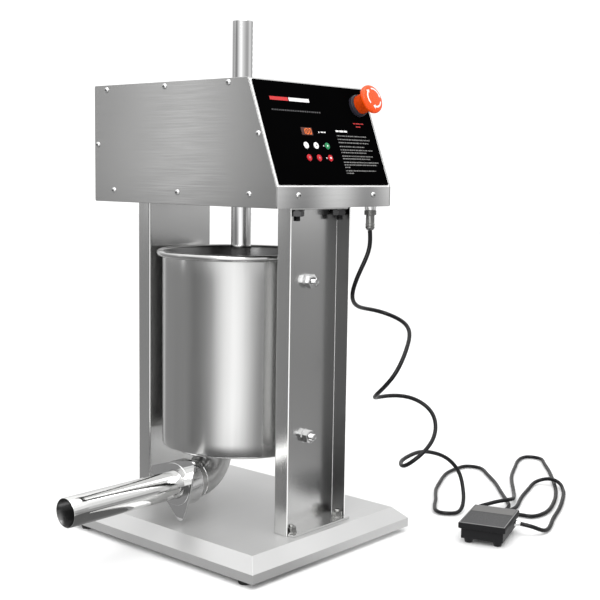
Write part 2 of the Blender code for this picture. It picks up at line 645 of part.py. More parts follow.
def outlet():
    """The elbow under the cylinder, its gasket, the wing nut and the filling tube."""
    top = CYL_LOW - GAP
    end = NUT_FACE + 0.0165                     # end of the elbow's threaded ferrule
    centre = (OUTLET_X - OUTLET_BEND, TUBE_Z + OUTLET_BEND)
    bend = arc(centre, OUTLET_BEND, 0, -math.pi / 2, 6)
    line = [(OUTLET_X, 0, top)] + [(x, 0, z) for x, z in bend] + [(end, 0, TUBE_Z)]
    through = [(OUTLET_X, 0, top + 0.01)] + line[1:-1] + [(end - 0.01, 0, TUBE_Z)]
    elbow = pipe("outlet_elbow", line, OUTLET_R, "polished_stainless", sides=5)
    join(elbow, rod("elbow_thread", 0.0270, 0.012, at(end + 0.012, 0, TUBE_Z), rotation=TO_TUBE,
                    sides=32))
    cut(elbow, pipe("elbow_bore", through, OUTLET_R - OUTLET_WALL, sides=5))

    washer("outlet_gasket", TUBE_R, 0.0268, 0.002, at(end - GAP, 0, TUBE_Z), "white_plastic",
           TO_TUBE)
    inner = TUBE_R - TUBE_WALL
    flange_top = 0.0026
    length = TUBE_REACH + end - 0.0023 - GAP
    tube = [(inner, length), (TUBE_R, length), (TUBE_R, flange_top), (0.0262, flange_top),
            (0.0262, 0), (inner, 0)]
    turned("filling_tube", tube, at(end - 0.0023 - GAP, 0, TUBE_Z), "polished_stainless",
           TO_TUBE, ring=True)

    start = end + 0.0105
    deep = start - NUT_FACE
    collar = 0.0035
    body = [(0.0197, deep), (0.0290, deep), (0.0315, deep - 0.004), (0.0315, 0.003),
            (0.0295, 0), (0.0273, 0), (0.0273, deep - collar), (0.0197, deep - collar)]
    nut = turned("tube_wing_nut", body, at(start, 0, TUBE_Z), "chrome", TO_TUBE, ring=True)
    wings = []
    reach = 0.0437
    tip = 0.0068
    swell = 0.0310
    spread = math.acos((swell - tip) / reach)
    third = 2 * math.pi / 3
    for number in range(3):
        way = number * third
        wings += arc((reach * math.cos(way), reach * math.sin(way)), tip, way - spread,
                     way + spread, 5)
        wings += arc((0, 0), swell, way + spread, way + third - spread, 2)
    ears = plate("nut_wings", wings, 0.0034, at(NUT_FACE + 0.0022, 0, TUBE_Z))
    ears.rotation_mode = "QUATERNION"
    ears.rotation_quaternion = (Euler(TO_TUBE).to_quaternion()
                                @ Euler((0, 0, NUT_TURN)).to_quaternion())
    cut(ears, rod("wing_bore", 0.0250, 0.02, at(NUT_FACE + 0.01, 0, TUBE_Z), rotation=TO_TUBE,
                  sides=40))
    join(nut, ears)


def pins():
    """Pivot pins below and lock bolts above, each with its nut outside the column's web."""
    web_out = COLUMN_WEB + COLUMN_SHEET
    for level, height, name, nut_name in (("lower", LOW_PIN_Z, "pivot_pin", "pivot_nut"),
                                          ("upper", HIGH_PIN_Z, "lock_bolt", "lock_nut")):
        for side, sign in (("front", -1), ("rear", 1)):
            turn = TO_FRONT if sign < 0 else TO_REAR
            inside = COLUMN_WEB - CYL_R - 0.0006
            start = CYL_R + 0.0003
            shank = 0.0190
            profile = [(0, inside + shank), (0.0050, inside + shank), (0.0050, inside),
                       (0.0095, inside), (0.0095, 0), (0, 0)]
            turned(f"{level}_{name}_{side}", profile, at(0, sign * start, height), "chrome",
                   turn)
            hexagon = arc((0, 0), 0.0098, 0, 2 * math.pi * 5 / 6, 5)
            nut = plate(f"{level}_{nut_name}_{side}", hexagon, 0.008,
                        at(0, sign * (web_out + GAP + 0.004), height), "chrome", turn)
            cut(nut, rod(f"{nut.name}_bore", 0.0053, 0.02,
                         at(0, sign * (web_out - 0.005), height), rotation=turn))


# ---- controls -------------------------------------------------------------------------
def panel():
    """The glossy overlay with its display window and six keys."""
    length = math.hypot(HEAD_SLANT - HEAD_FRONT, HEAD_TOP - HEAD_LIP)
    low = 0.0022
    high = length - 0.0026
    half = 0.1105
    outline = rounded([(-half, low), (half, low), (half, high), (-half, high)], 0.002,
                      closed=True)
    sheet = plate("panel_overlay", outline, OVERLAY, on_panel(0, 0, GAP + OVERLAY / 2),
                  "panel_black", TO_PANEL)
    cut(sheet, rod("overlay_estop_hole", 0.0092, 0.01, on_panel(ESTOP_X, ESTOP_S, -0.004),
                   rotation=TO_PANEL))
    window = (0.0215, 0.0105)
    spot = (-0.0315, 0.0752)
    cut(sheet, block("overlay_window_hole", (window[0] + 2 * GAP, window[1] + 2 * GAP, 0.01),
                     on_panel(spot[0], spot[1], 0), rotation=TO_PANEL))
    block("display_window", (window[0], window[1], OVERLAY - 0.0002),
          on_panel(spot[0], spot[1], GAP + OVERLAY / 2 - 0.0001), "display_red", TO_PANEL)
    names = (("key_speed_down", "key_speed_up", "key_start"),
             ("key_fill", "key_return", "key_stop"))
    finishes = (("white_plastic", "white_plastic", "green_plastic"),
                ("red_plastic", "red_plastic", "red_plastic"))
    for row, along in enumerate(KEY_ROWS):
        for spot_x, name, finish in zip(KEY_COLUMNS, names[row], finishes[row]):
            cut(sheet, rod(f"{name}_hole", KEY_R + GAP, 0.01, on_panel(spot_x, along, -0.004),
                           rotation=TO_PANEL, sides=SMALL))
            profile = [(0, 0.0013), (KEY_R - 0.0006, 0.0013), (KEY_R, 0.0009), (KEY_R, 0), (0, 0)]
            turned(name, profile, on_panel(spot_x, along, 0.0009), finish, TO_PANEL, sides=SMALL)
    block("control_board", (0.120, 0.095, 0.0016), on_panel(-0.020, 0.066, -0.016),
          "circuit_green", TO_PANEL)


def emergency_stop():
    """A mushroom head on a sprung plunger, through a collar, with its contact block."""
    face = GAP + OVERLAY + GAP
    spot = (ESTOP_X, ESTOP_S)
    collar = [(0.0136, 0.0070), (0.0148, 0.0070), (0.0155, 0.0060), (0.0155, 0), (0.0136, 0)]
    turned("estop_collar", collar, on_panel(*spot, face), "grey_plastic", TO_PANEL, ring=True)
    block("estop_contact_block", (0.030, 0.030, 0.028), on_panel(*spot, -0.0365), "grey_plastic",
          TO_PANEL, edge=0.001)
    rod("estop_plunger", 0.0080, 0.0365, on_panel(*spot, -0.0160), "grey_plastic", TO_PANEL)
    neck = -0.0138
    mushroom = [(0, 0.0133), (0.0120, 0.0130), (0.0170, 0.0122), (0.0192, 0.0104),
                (0.0200, 0.0082), (0.0197, 0.0056), (0.0186, 0.0046), (0.0132, 0.0040),
                (0.0132, neck), (0.0085, neck), (0.0085, 0), (0, 0)]
    turned("estop_mushroom", mushroom, on_panel(*spot, 0.0208), "red_plastic", TO_PANEL,
           sides=40)


def connectors():
    """The pedal's socket in the head's floor, the plug below it and the mains inlet behind."""
    low = HEAD_LOW - 0.0052
    profile = [(0, low + 0.020), (0.0065, low + 0.020), (0.0065, HEAD_LOW - GAP),
               (0.0082, HEAD_LOW - GAP), (0.0082, low), (0, low)]
    turned("pedal_socket", profile, at(SOCKET_X, SOCKET_Y, 0), "chrome")
    top = low - GAP
    plug = [(0, top), (0.0078, top), (0.0086, top - 0.001), (0.0086, top - 0.0062),
            (0.0060, top - 0.0070), (0.0060, PLUG_LOW + 0.0068), (0.0064, PLUG_LOW + 0.0050),
            (0.0064, PLUG_LOW + 0.0030), (0.0046, PLUG_LOW), (0, PLUG_LOW)]
    turned("pedal_plug", plug, at(SOCKET_X, SOCKET_Y, 0), "chrome")
    rear = HEAD_REAR + GAP
    deep = 0.0048
    spot_x = -0.060
    inlet = block("mains_inlet", (0.048, deep, 0.032), at(spot_x, rear + deep / 2, INLET_Z),
                  "black_plastic", edge=0.001)
    cut(inlet, block("inlet_recess", (0.026, deep, 0.017), at(spot_x, rear + deep, INLET_Z)))


# ---- foot pedal and its lead ----------------------------------------------------------
def on_pedal(along, across, height):
    """A point given along and across the pedal from its middle."""
    turn = Matrix.Rotation(PEDAL_TURN, 2)
    x, y = turn @ Vector((along, across))
    return at(PEDAL_X + x, PEDAL_Y + y, height)


def pedal():
    """The tray on four feet, the treadle hinged on a pin, the switch and the lead's gland."""
    turn = (0, 0, PEDAL_TURN)
    across = (math.pi / 2, 0, PEDAL_TURN)        # local +Z points to the pedal's near side
    low = 0.0068
    tray_top = 0.0204
    long_in = PEDAL_LONG - 0.0075
    wide_in = PEDAL_WIDE - 0.0075
    hinge = (0.038, 0.0235)
    base = block("pedal_base", (long_in, wide_in, tray_top - low),
                 on_pedal(0, 0, (tray_top + low) / 2), "black_plastic", turn)
    foot = [(0, low + 0.001), (0.0075, low + 0.001), (0.0055, 0), (0, 0)]
    for along in (-0.0345, 0.0345):
        for side in (-0.0205, 0.0205):
            tag = f"{along:.4f}_{side:.4f}"
            join(base, turned(f"pedal_foot_{tag}", foot, on_pedal(along, side, 0), sides=16))
    cut(base, block("tray_hollow", (long_in - 0.006, wide_in - 0.006, tray_top),
                    on_pedal(0, 0, low + 0.0025 + tray_top / 2), rotation=turn))
    join(base, block("hinge_post", (0.008, 0.030, 0.0190), on_pedal(hinge[0], 0, 0.0170),
                     rotation=turn))
    cut(base, rod("post_bore", 0.0019, 0.08, on_pedal(hinge[0], 0.04, hinge[1]),
                  rotation=across, sides=SMALL))
    cut(base, rod("gland_hole", 0.0027, 0.02, on_pedal(0.028, -0.018, 0.0158), rotation=across,
                  sides=16))

    skirt_low = 0.0212
    tread = block("pedal_treadle", (PEDAL_LONG, PEDAL_WIDE, PEDAL_TOP - skirt_low),
                  on_pedal(0, 0, (PEDAL_TOP + skirt_low) / 2), "black_plastic", turn, edge=0.0015)
    cut(tread, block("treadle_hollow", (PEDAL_LONG - 0.006, PEDAL_WIDE - 0.006, 0.012),
                     on_pedal(0, 0, PEDAL_TOP - 0.0026 - 0.006), rotation=turn))
    cut(tread, rod("treadle_bore", 0.0019, 0.08, on_pedal(hinge[0], 0.04, hinge[1]),
                   rotation=across, sides=SMALL))
    rod("pedal_hinge_pin", 0.0015, PEDAL_WIDE - 0.002,
        on_pedal(hinge[0], PEDAL_WIDE / 2 - 0.001, hinge[1]), "chrome", across, sides=SMALL)
    block("pedal_switch", (0.022, 0.012, 0.0085), on_pedal(-0.020, 0, 0.0140), "grey_plastic",
          turn, edge=0.0006)
    gland = [(0, 0.0098), (0.0028, 0.0098), (0.0036, 0.0070), (0.0042, 0.0035), (0.0042, 0.0003),
             (0.0024, 0.0003), (0.0024, -0.0040), (0, -0.0040)]
    turned("pedal_gland", gland, on_pedal(0.028, -wide_in / 2, 0.0158), "chrome", across,
           sides=20)


def pedal_cord():
    line = thinned(smooth_line(CORD_ROUTE, 16), math.radians(27), 0.060)
    pipe("pedal_cord", line, CORD_R, "black_rubber", sides=2)


clear_scene()
PARTS = new_collection("sausage_stuffer")
CUTTERS = new_collection("cutters")
base_plate()
feet()
column("front_column", -1)
column("rear_column", 1)
head()
rod_bushes()
rack_rod()
drive(pinion_shaft())
cylinder()
piston()
outlet()
pins()
panel()
emergency_stop()
connectors()
pedal()
pedal_cord()
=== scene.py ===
"""Looks of the electric sausage stuffer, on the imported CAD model.

Metres, in the CAD's own frame. Positions come from the CAD nodes' boxes; X offsets called
"from the axis" are from the axis of the filling cylinder.
"""
import json
import math
import random

import bmesh
import bpy
import numpy as np
from mathutils import Matrix, Vector


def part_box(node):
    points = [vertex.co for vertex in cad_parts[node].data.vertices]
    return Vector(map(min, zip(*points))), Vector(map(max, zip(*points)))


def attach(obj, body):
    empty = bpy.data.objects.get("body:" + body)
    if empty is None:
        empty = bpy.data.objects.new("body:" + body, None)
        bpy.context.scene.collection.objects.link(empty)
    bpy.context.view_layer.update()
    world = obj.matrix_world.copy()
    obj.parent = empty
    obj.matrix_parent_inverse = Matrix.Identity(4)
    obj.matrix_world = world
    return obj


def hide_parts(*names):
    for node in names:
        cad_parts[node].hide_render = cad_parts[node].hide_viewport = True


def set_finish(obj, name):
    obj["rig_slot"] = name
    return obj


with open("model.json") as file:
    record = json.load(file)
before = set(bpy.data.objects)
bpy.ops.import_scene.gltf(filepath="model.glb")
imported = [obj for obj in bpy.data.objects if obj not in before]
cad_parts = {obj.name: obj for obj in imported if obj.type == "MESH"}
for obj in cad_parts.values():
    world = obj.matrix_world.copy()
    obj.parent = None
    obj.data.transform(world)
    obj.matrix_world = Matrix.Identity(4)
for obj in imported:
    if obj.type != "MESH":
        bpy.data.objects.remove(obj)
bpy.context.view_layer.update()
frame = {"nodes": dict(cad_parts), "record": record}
NODES = frame["nodes"]

CAN_NODES = ("cylinder", "cylinder_floor")
CAN_RADIUS = 0.110
CAN_WALL = 0.0015
CYL_LO, CYL_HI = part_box("cylinder")
AXIS_X = (CYL_LO.x + CYL_HI.x) / 2
HEAD_LO, HEAD_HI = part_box("head_shell")
COVER_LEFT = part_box("head_left_cover")[0].x
HEAD_FRONT = HEAD_LO.y
HEAD_LIP = HEAD_LO.z + 0.0266            # where the upright lip meets the slanted panel
SLANT_BACK = 0.0505                      # how far the panel leans back over its height
SLANT = math.atan2(SLANT_BACK, HEAD_HI.z - HEAD_LIP)
OVERLAY_TOP = 0.0015                     # height of the film's face off the panel
KEY_TOP = 0.0022
ESTOP = (0.086, 0.1150)                  # on the panel, as on_panel() takes it
KEY_COLUMNS = (-0.0405, -0.0210, 0.0012)
KEY_ROWS = (0.0558, 0.0391)
LIP_SCREW_Z = 0.4855
FLANGE_INNER = 0.055                     # the columns' flanges start this far from the axis
BASE_TOP = 0.0363
TAB = 0.003                              # thickness of the columns' bolting tabs

TO_TUBE = (0, -math.pi / 2, 0)
TO_PANEL = (math.pi / 2 - SLANT, 0, 0)


def at(x, y, z):
    return Vector((x + AXIS_X, y, z))


def on_panel(x, along, height=0.0):
    """A point on the slanted panel: along it from its lower edge, height off its face."""
    y = HEAD_FRONT + along * math.sin(SLANT) - height * math.cos(SLANT)
    z = HEAD_LIP + along * math.cos(SLANT) + height * math.sin(SLANT)
    return at(x, y, z)


# ---- camera ----
def camera():
    azimuth, pitch, roll = (math.radians(a) for a in (-48.50, 6.565, 0.839))
    ahead = Vector((-math.sin(azimuth) * math.cos(pitch), math.cos(azimuth) * math.cos(pitch),
                    -math.sin(pitch)))
    level = Vector((math.cos(azimuth), math.sin(azimuth), 0))
    up = level.cross(ahead)
    right = level * math.cos(roll) + up * math.sin(roll)
    above = up * math.cos(roll) - level * math.sin(roll)
    data = bpy.data.cameras.new("camera")
    data.lens = 67.0
    data.sensor_width = 36.0
    data.clip_end = 60
    item = bpy.data.objects.new("camera", data)
    bpy.context.scene.collection.objects.link(item)
    spot = at(-1.1213, -1.1047, 0.5153)
    turn = Matrix((right, above, -ahead)).transposed().to_4x4()
    item.matrix_world = Matrix.Translation(spot) @ turn
    bpy.context.scene.camera = item


# ---- materials ----
class Nodes:
    """A material's node tree, with short calls for the nodes used here."""

    def __init__(self, name):
        self.material = bpy.data.materials.new(name)
        self.material.use_nodes = True
        self.tree = self.material.node_tree
        self.shader = self.tree.nodes["Principled BSDF"]
        self.coords = self.tree.nodes.new("ShaderNodeTexCoord").outputs["Object"]

    def put(self, socket, value):
        if isinstance(value, bpy.types.NodeSocket):
            self.tree.links.new(value, socket)
        else:
            socket.default_value = value

    def set(self, **values):
        for name, value in values.items():
            self.put(self.shader.inputs[name.replace("_", " ")], value)

    def stretch(self, scale, turn=(0, 0, 0)):
        node = self.tree.nodes.new("ShaderNodeMapping")
        self.put(node.inputs["Vector"], self.coords)
        node.inputs["Scale"].default_value = scale
        node.inputs["Rotation"].default_value = turn
        return node.outputs["Vector"]

    def noise(self, scale, size=1.0, detail=3.0, rough=0.55):
        node = self.tree.nodes.new("ShaderNodeTexNoise")
        self.put(node.inputs["Vector"], self.stretch(scale))
        node.inputs["Scale"].default_value = size
        node.inputs["Detail"].default_value = detail
        node.inputs["Roughness"].default_value = rough
        return node.outputs["Fac"]

    def spread(self, value, low, high, from_low=0.3, from_high=0.7):
        node = self.tree.nodes.new("ShaderNodeMapRange")
        for socket, number in (("Value", value), ("From Min", from_low), ("From Max", from_high),
                               ("To Min", low), ("To Max", high)):
            self.put(node.inputs[socket], number)
        return node.outputs["Result"]

    def blend(self, value, first, second):
        node = self.tree.nodes.new("ShaderNodeMix")
        node.data_type = "RGBA"
        self.put(node.inputs[0], value)
        self.put(node.inputs[6], (*first, 1) if isinstance(first, tuple) else first)
        self.put(node.inputs[7], (*second, 1) if isinstance(second, tuple) else second)
        return node.outputs[2]

    def bump(self, value, height, strength=1.0):
        node = self.tree.nodes.new("ShaderNodeBump")
        node.inputs["Strength"].default_value = strength
        node.inputs["Distance"].default_value = height
        self.put(node.inputs["Height"], value)
        return node.outputs["Normal"]

    def level_tangent(self):
        """Level on upright faces, so that highlights draw out up and down."""
        normal = self.tree.nodes.new("ShaderNodeNewGeometry").outputs["Normal"]
        node = self.tree.nodes.new("ShaderNodeVectorMath")
        node.operation = "CROSS_PRODUCT"
        self.put(node.inputs[0], normal)
        node.inputs[1].default_value = (0.02, 0.0, 1.0)
        return node.outputs["Vector"]


def brushed(name, colour, grain, rough, anisotropic, metallic=1.0):
    """Brushed stainless steel; grain gives the noise its scale along X, Y and Z."""
    made = Nodes(name)
    fine = made.noise(grain, 1.0, 4.0, 0.6)
    broad = made.noise((3.0, 3.0, 2.0), 1.6, 2.0)
    darker = tuple(c * 0.88 for c in colour)
    made.set(Base_Color=made.blend(made.spread(broad, 0, 1), darker, colour))
    made.set(Metallic=metallic, Roughness=made.spread(fine, rough - 0.03, rough + 0.04))
    made.set(Anisotropic=anisotropic, Tangent=made.level_tangent())
    made.set(Normal=made.bump(fine, 0.00002, 0.25))
    return made.material


def painted_reflection_bands(name, dark, light, middle, pitch):
    """Brushed steel with painted reflection: soft upright bands, light at the middle and every
    pitch from it.
    """
    made = Nodes(name)
    bands = made.tree.nodes.new("ShaderNodeTexWave")
    made.put(bands.inputs["Vector"], made.coords)
    bands.bands_direction = "X"
    bands.inputs["Scale"].default_value = math.pi / (10 * pitch)
    bands.inputs["Phase Offset"].default_value = math.pi * (1 - 2 * middle / pitch)
    fine = made.noise((14, 14, 900), 1.0, 4.0, 0.6)
    made.set(Base_Color=made.blend(bands.outputs["Fac"], dark, light), Metallic=1.0)
    made.set(Roughness=made.spread(fine, 0.16, 0.22), Anisotropic=0.2)
    made.set(Tangent=made.level_tangent(), Normal=made.bump(fine, 0.00002, 0.25))
    return made.material


def polished(name, colour, rough, wave=0.0, streak=(40, 40, 1.5)):
    """Bright steel with faint streaks, and a slight wave in its surface."""
    made = Nodes(name)
    fine = made.noise(streak, 1.0, 3.0, 0.6)
    smear = made.noise((9.0, 9.0, 5.0), 1.0, 3.0)
    darker = tuple(c * 0.93 for c in colour)
    made.set(Base_Color=made.blend(made.spread(fine, 0, 1), darker, colour), Metallic=1.0)
    made.set(Roughness=made.spread(smear, rough * 0.7, rough * 1.4))
    if wave:
        made.set(Normal=made.bump(made.noise((14, 14, 3.0), 1.0, 2.0), wave, 1.0))
    return made.material


def plastic(name, colour, rough, shine=0.5, grain=900.0, height=0.00004):
    """Moulded plastic or rubber with a fine surface texture."""
    made = Nodes(name)
    fine = made.noise((grain, grain, grain), 1.0, 2.0)
    broad = made.noise((25, 25, 25), 1.0, 3.0)
    darker = tuple(c * 0.86 for c in colour)
    made.set(Base_Color=made.blend(made.spread(broad, 0, 1), darker, colour))
    made.set(Roughness=made.spread(broad, rough - 0.05, rough + 0.06), Specular_IOR_Level=shine)
    made.set(Normal=made.bump(fine, height, 0.6))
    return made.material


def glow(name, colour, strength):
    made = Nodes(name)
    made.set(Base_Color=(*(c * 0.4 for c in colour), 1), Emission_Color=(*colour, 1))
    made.set(Emission_Strength=made.spread(made.noise((300, 300, 300)), strength * 0.85, strength))
    return made.material


ALONG_X, ALONG_Y, UPRIGHT = (14, 14, 900), (14, 900, 14), (900, 900, 12)
BRUSHED = {    # colour, grain, roughness, anisotropy, metallic
    "brushed_stainless": ((0.60, 0.60, 0.595), ALONG_X, 0.18, 0.2),
    "column_stainless": ((0.74, 0.74, 0.735), UPRIGHT, 0.20, 0.2),
    "base_stainless": ((0.60, 0.60, 0.597), ALONG_Y, 0.36, 0.0, 0.62),
    # painted shade: a dark copy of the column steel for the channels' inner flanges
    "painted_shade_flange_steel": ((0.14, 0.14, 0.14), UPRIGHT, 0.34, 0.2),
    # painted highlight: near-white, barely metallic steel for bright edges and the slanted face
    "painted_highlight_steel": ((0.93, 0.93, 0.92), UPRIGHT, 0.50, 0.0, 0.15),
}
POLISHED = {   # colour, roughness, height of the surface's wave, scale of the streaks
    "cylinder_steel": ((0.68, 0.68, 0.675), 0.17, 0.0008),
    # painted shade: dark steel for the insides of the can and the tube
    "painted_shade_inner_steel": ((0.18, 0.18, 0.18), 0.20),
    "elbow_steel": ((0.62, 0.62, 0.615), 0.32, 0.0002, (30, 30, 30)),
    "polished_stainless": ((0.80, 0.80, 0.79), 0.07, 0.0004, (5, 60, 60)),
    "chrome": ((0.82, 0.82, 0.82), 0.05),
    "dull_chrome": ((0.40, 0.40, 0.39), 0.20),
    # painted shade: dark nuts for under the head, where its shadow falls
    "painted_shade_zinc": ((0.11, 0.11, 0.112), 0.24),
    "machined_steel": ((0.50, 0.50, 0.51), 0.28),
    "aluminium": ((0.68, 0.68, 0.69), 0.36),
}
PLASTIC = {    # colour, roughness, shine, scale of the grain, its height
    "motor_enamel": ((0.05, 0.055, 0.06), 0.35),
    "black_rubber": ((0.018, 0.018, 0.018), 0.52),
    "cord_black": ((0.008, 0.008, 0.009), 0.24, 0.22, 500.0, 0.00003),
    "black_plastic": ((0.009, 0.009, 0.010), 0.42, 0.2, 1200.0, 0.00008),
    # painted light: a lighter copy of the pedal's black for its lit top
    "painted_light_tread_grey": ((0.060, 0.060, 0.062), 0.50),
    "band_grey": ((0.120, 0.118, 0.115), 0.45),
    # painted highlight for the treadle's top edge
    "painted_highlight_grey": ((0.22, 0.22, 0.22), 0.45),
    "grey_plastic": ((0.045, 0.045, 0.048), 0.42),
    "white_plastic": ((0.80, 0.80, 0.79), 0.40),
    "red_plastic": ((0.44, 0.004, 0.012), 0.30, 0.25),
    "stop_orange": ((0.80, 0.072, 0.004), 0.28, 0.3),
    "green_plastic": ((0.008, 0.21, 0.07), 0.32, 0.25),
    "collar_black": ((0.022, 0.020, 0.030), 0.40, 0.3),
    "panel_black": ((0.0012, 0.0012, 0.0013), 0.20, 0.0, 200.0, 0.00001),
    "display_red": ((0.05, 0.004, 0.001), 0.10, 0.5, 200.0, 0.00001),
    "circuit_green": ((0.02, 0.16, 0.06), 0.40),
    "print_white": ((0.78, 0.78, 0.77), 0.45),
    "print_grey": ((0.19, 0.19, 0.185), 0.45),
    "print_dim": ((0.045, 0.045, 0.047), 0.45),
    "print_key": ((0.42, 0.30, 0.30), 0.45),
    "print_red": ((0.50, 0.004, 0.006), 0.45),
    # painted shade at the bottom of screw sockets; also dark print on two keys
    "socket_shade_and_dark_print": ((0.01, 0.01, 0.01), 0.6),
}


def make_materials():
    made = {"led_orange": glow("led_orange", (1.0, 0.20, 0.03), 1.1)}
    for maker, table in ((brushed, BRUSHED), (polished, POLISHED), (plastic, PLASTIC)):
        made.update({name: maker(name, *values) for name, values in table.items()})
    return made


# ---- mesh helpers ----
def add(name, mesh, body, finish, slot, location=(0, 0, 0), rotation=(0, 0, 0), angle=34):
    """Put a new piece in place on a CAD body."""
    mesh.materials.clear()
    mesh.materials.append(MATERIALS[finish])
    mesh.shade_smooth()
    mesh.set_sharp_from_angle(angle=math.radians(angle))
    piece = bpy.data.objects.new(name, mesh)
    piece.location = location
    piece.rotation_euler = rotation
    bpy.context.scene.collection.objects.link(piece)
    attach(piece, body)
    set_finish(piece, slot)
    return piece


def mesh_of(name, verts, faces):
    mesh = bpy.data.meshes.new(name)
    mesh.from_pydata([tuple(v) for v in verts], [], faces)
    shape = bmesh.new()
    shape.from_mesh(mesh)
    bmesh.ops.remove_doubles(shape, verts=shape.verts, dist=0.000001)
    bmesh.ops.recalc_face_normals(shape, faces=shape.faces)
    shape.to_mesh(mesh)
    shape.free()
    return mesh


def quads(rows, closed=False):
    """Faces between neighbouring rings of vertices, and from the last to the first if closed."""
    faces = []
    for upper, lower in zip(rows, rows[1:] + (rows[:1] if closed else [])):
        for k in range(len(upper)):
            after = (k + 1) % len(upper)
            face = tuple(dict.fromkeys((upper[k], upper[after], lower[after], lower[k])))
            if len(face) > 2:
                faces.append(face)
    return faces


def lathe(name, profile, sides=48, ring=False):
    """Turn (radius, height) points round Z; points at radius 0 close the ends."""
    verts = []
    rows = []
    for radius, height in profile:
        if radius < 1e-7:
            rows.append([len(verts)] * sides)
            verts.append((0, 0, height))
            continue
        rows.append(list(range(len(verts), len(verts) + sides)))
        for k in range(sides):
            angle = 2 * math.pi * k / sides
            verts.append((radius * math.cos(angle), radius * math.sin(angle), height))
    return mesh_of(name, verts, quads(rows, ring))


def merged(name, parts):
    """One mesh from (mesh, matrix) pairs."""
    shape = bmesh.new()
    for mesh, matrix in parts:
        start = len(shape.verts)
        shape.from_mesh(mesh)
        shape.verts.ensure_lookup_table()
        bmesh.ops.transform(shape, matrix=matrix, verts=shape.verts[start:])
    bmesh.ops.recalc_face_normals(shape, faces=shape.faces)
    made = bpy.data.meshes.new(name)
    shape.to_mesh(made)
    shape.free()
    return made


def slab(name, outline, low, high):
    """A flat outline drawn out from low to high along Z."""
    count = len(outline)
    verts = [(x, y, low) for x, y in outline] + [(x, y, high) for x, y in outline]
    faces = [tuple(reversed(range(count))), tuple(range(count, 2 * count))]
    faces += [(k, (k + 1) % count, count + (k + 1) % count, count + k) for k in range(count)]
    return mesh_of(name, verts, faces)


def bar(x0, x1, y0, y1):
    return [(x0, y0), (x1, y0), (x1, y1), (x0, y1)]


def disc(radius, sides=20, centre=(0, 0)):
    return [(centre[0] + radius * math.cos(2 * math.pi * k / sides),
             centre[1] + radius * math.sin(2 * math.pi * k / sides)) for k in range(sides)]


def hexnut(across, height, bore):
    """A chamfered hex nut on Z from 0 to height."""
    flat = across / 2
    inner = flat * 0.96
    sides = 48
    verts = []
    rows = []
    levels = [("in", 0), ("ring", 0), ("edge", 0), ("edge", 1), ("ring", 1), ("in", 1)]
    for kind, top in levels:
        row = []
        for k in range(sides):
            angle = 2 * math.pi * k / sides
            turn = (angle + math.pi / 6) % (math.pi / 3) - math.pi / 6
            edge = flat / math.cos(turn)
            radius = {"in": bore, "ring": inner, "edge": edge}[kind]
            drop = (edge - inner) * 0.55 if kind == "edge" else 0
            row.append(len(verts))
            verts.append((radius * math.cos(angle), radius * math.sin(angle),
                          height - drop if top else drop))
        rows.append(row)
    return mesh_of("nut", verts, quads(rows, closed=True))


def threaded(radius, length, pitch=0.00125, tip=0.0008):
    """The end of a bolt, from 0 to length along Z, with ridges for its thread."""
    points = [(0, length), (radius - tip, length), (radius - 0.0002, length - tip)]
    z = length - tip - pitch / 2
    while z > pitch:
        points += [(radius - 0.00055, z), (radius, z - pitch / 2)]
        z -= pitch
    points += [(radius, 0), (0, 0)]
    return lathe("thread", points, 24)


def button_screw(name, radius, recess):
    """A low domed screw head with a hexagon socket, on Z from 0."""
    high = radius * 0.58
    steepest = 70
    profile = [(recess, high * 0.30), (recess, high * 0.98)]
    for step in range(6):
        angle = math.radians(steepest - steepest * step / 5)
        rise = math.sin(angle) / math.sin(math.radians(steepest))
        profile.append((radius * math.cos(angle), high * rise))
    profile = [(0, high * 0.30)] + profile + [(radius, -0.0004), (0, -0.0004)]
    return lathe(name, profile, 24)


def sweep(name, points, outer, inner, sides=40):
    """A hollow round tube along a line in the XZ plane."""
    rings = []
    verts = []
    count = len(points)
    for index, point in enumerate(points):
        here = Vector(point)
        ahead = (Vector(points[min(index + 1, count - 1)]) -
                 Vector(points[max(index - 1, 0)])).normalized()
        side = Vector((0, 1, 0))
        up = ahead.cross(side)
        for radius in (outer, inner):
            ring = []
            for k in range(sides):
                angle = 2 * math.pi * k / sides
                ring.append(len(verts))
                verts.append(here + radius * (side * math.cos(angle) + up * math.sin(angle)))
            rings.append(ring)
    outside = rings[0::2]
    inside = rings[1::2]
    faces = quads(outside) + quads(inside)
    for end in (0, -1):
        faces += quads([outside[end], inside[end]])
    return mesh_of(name, verts, faces)


def dress(node, finish, edge=0.0003):
    """A CAD node keeps its shape, and gets its material, soft edges and smooth shading."""
    item = NODES[node]
    item.data.materials.clear()
    item.data.materials.append(MATERIALS[finish])
    item.data.shade_smooth()
    weld = item.modifiers.new("weld", "WELD")
    weld.merge_threshold = 0.000002
    if edge:
        bevel = item.modifiers.new("edges", "BEVEL")
        bevel.width = edge
        bevel.segments = 2
        bevel.limit_method = "ANGLE"
        bevel.angle_limit = math.radians(38)
    normals = item.modifiers.new("normals", "WEIGHTED_NORMAL")
    normals.weight = 80
    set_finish(item, item.get("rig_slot", SLOTS[node]))


SLOTS = {row["node"]: row["material_slot"] for row in frame["record"]["subparts"]}


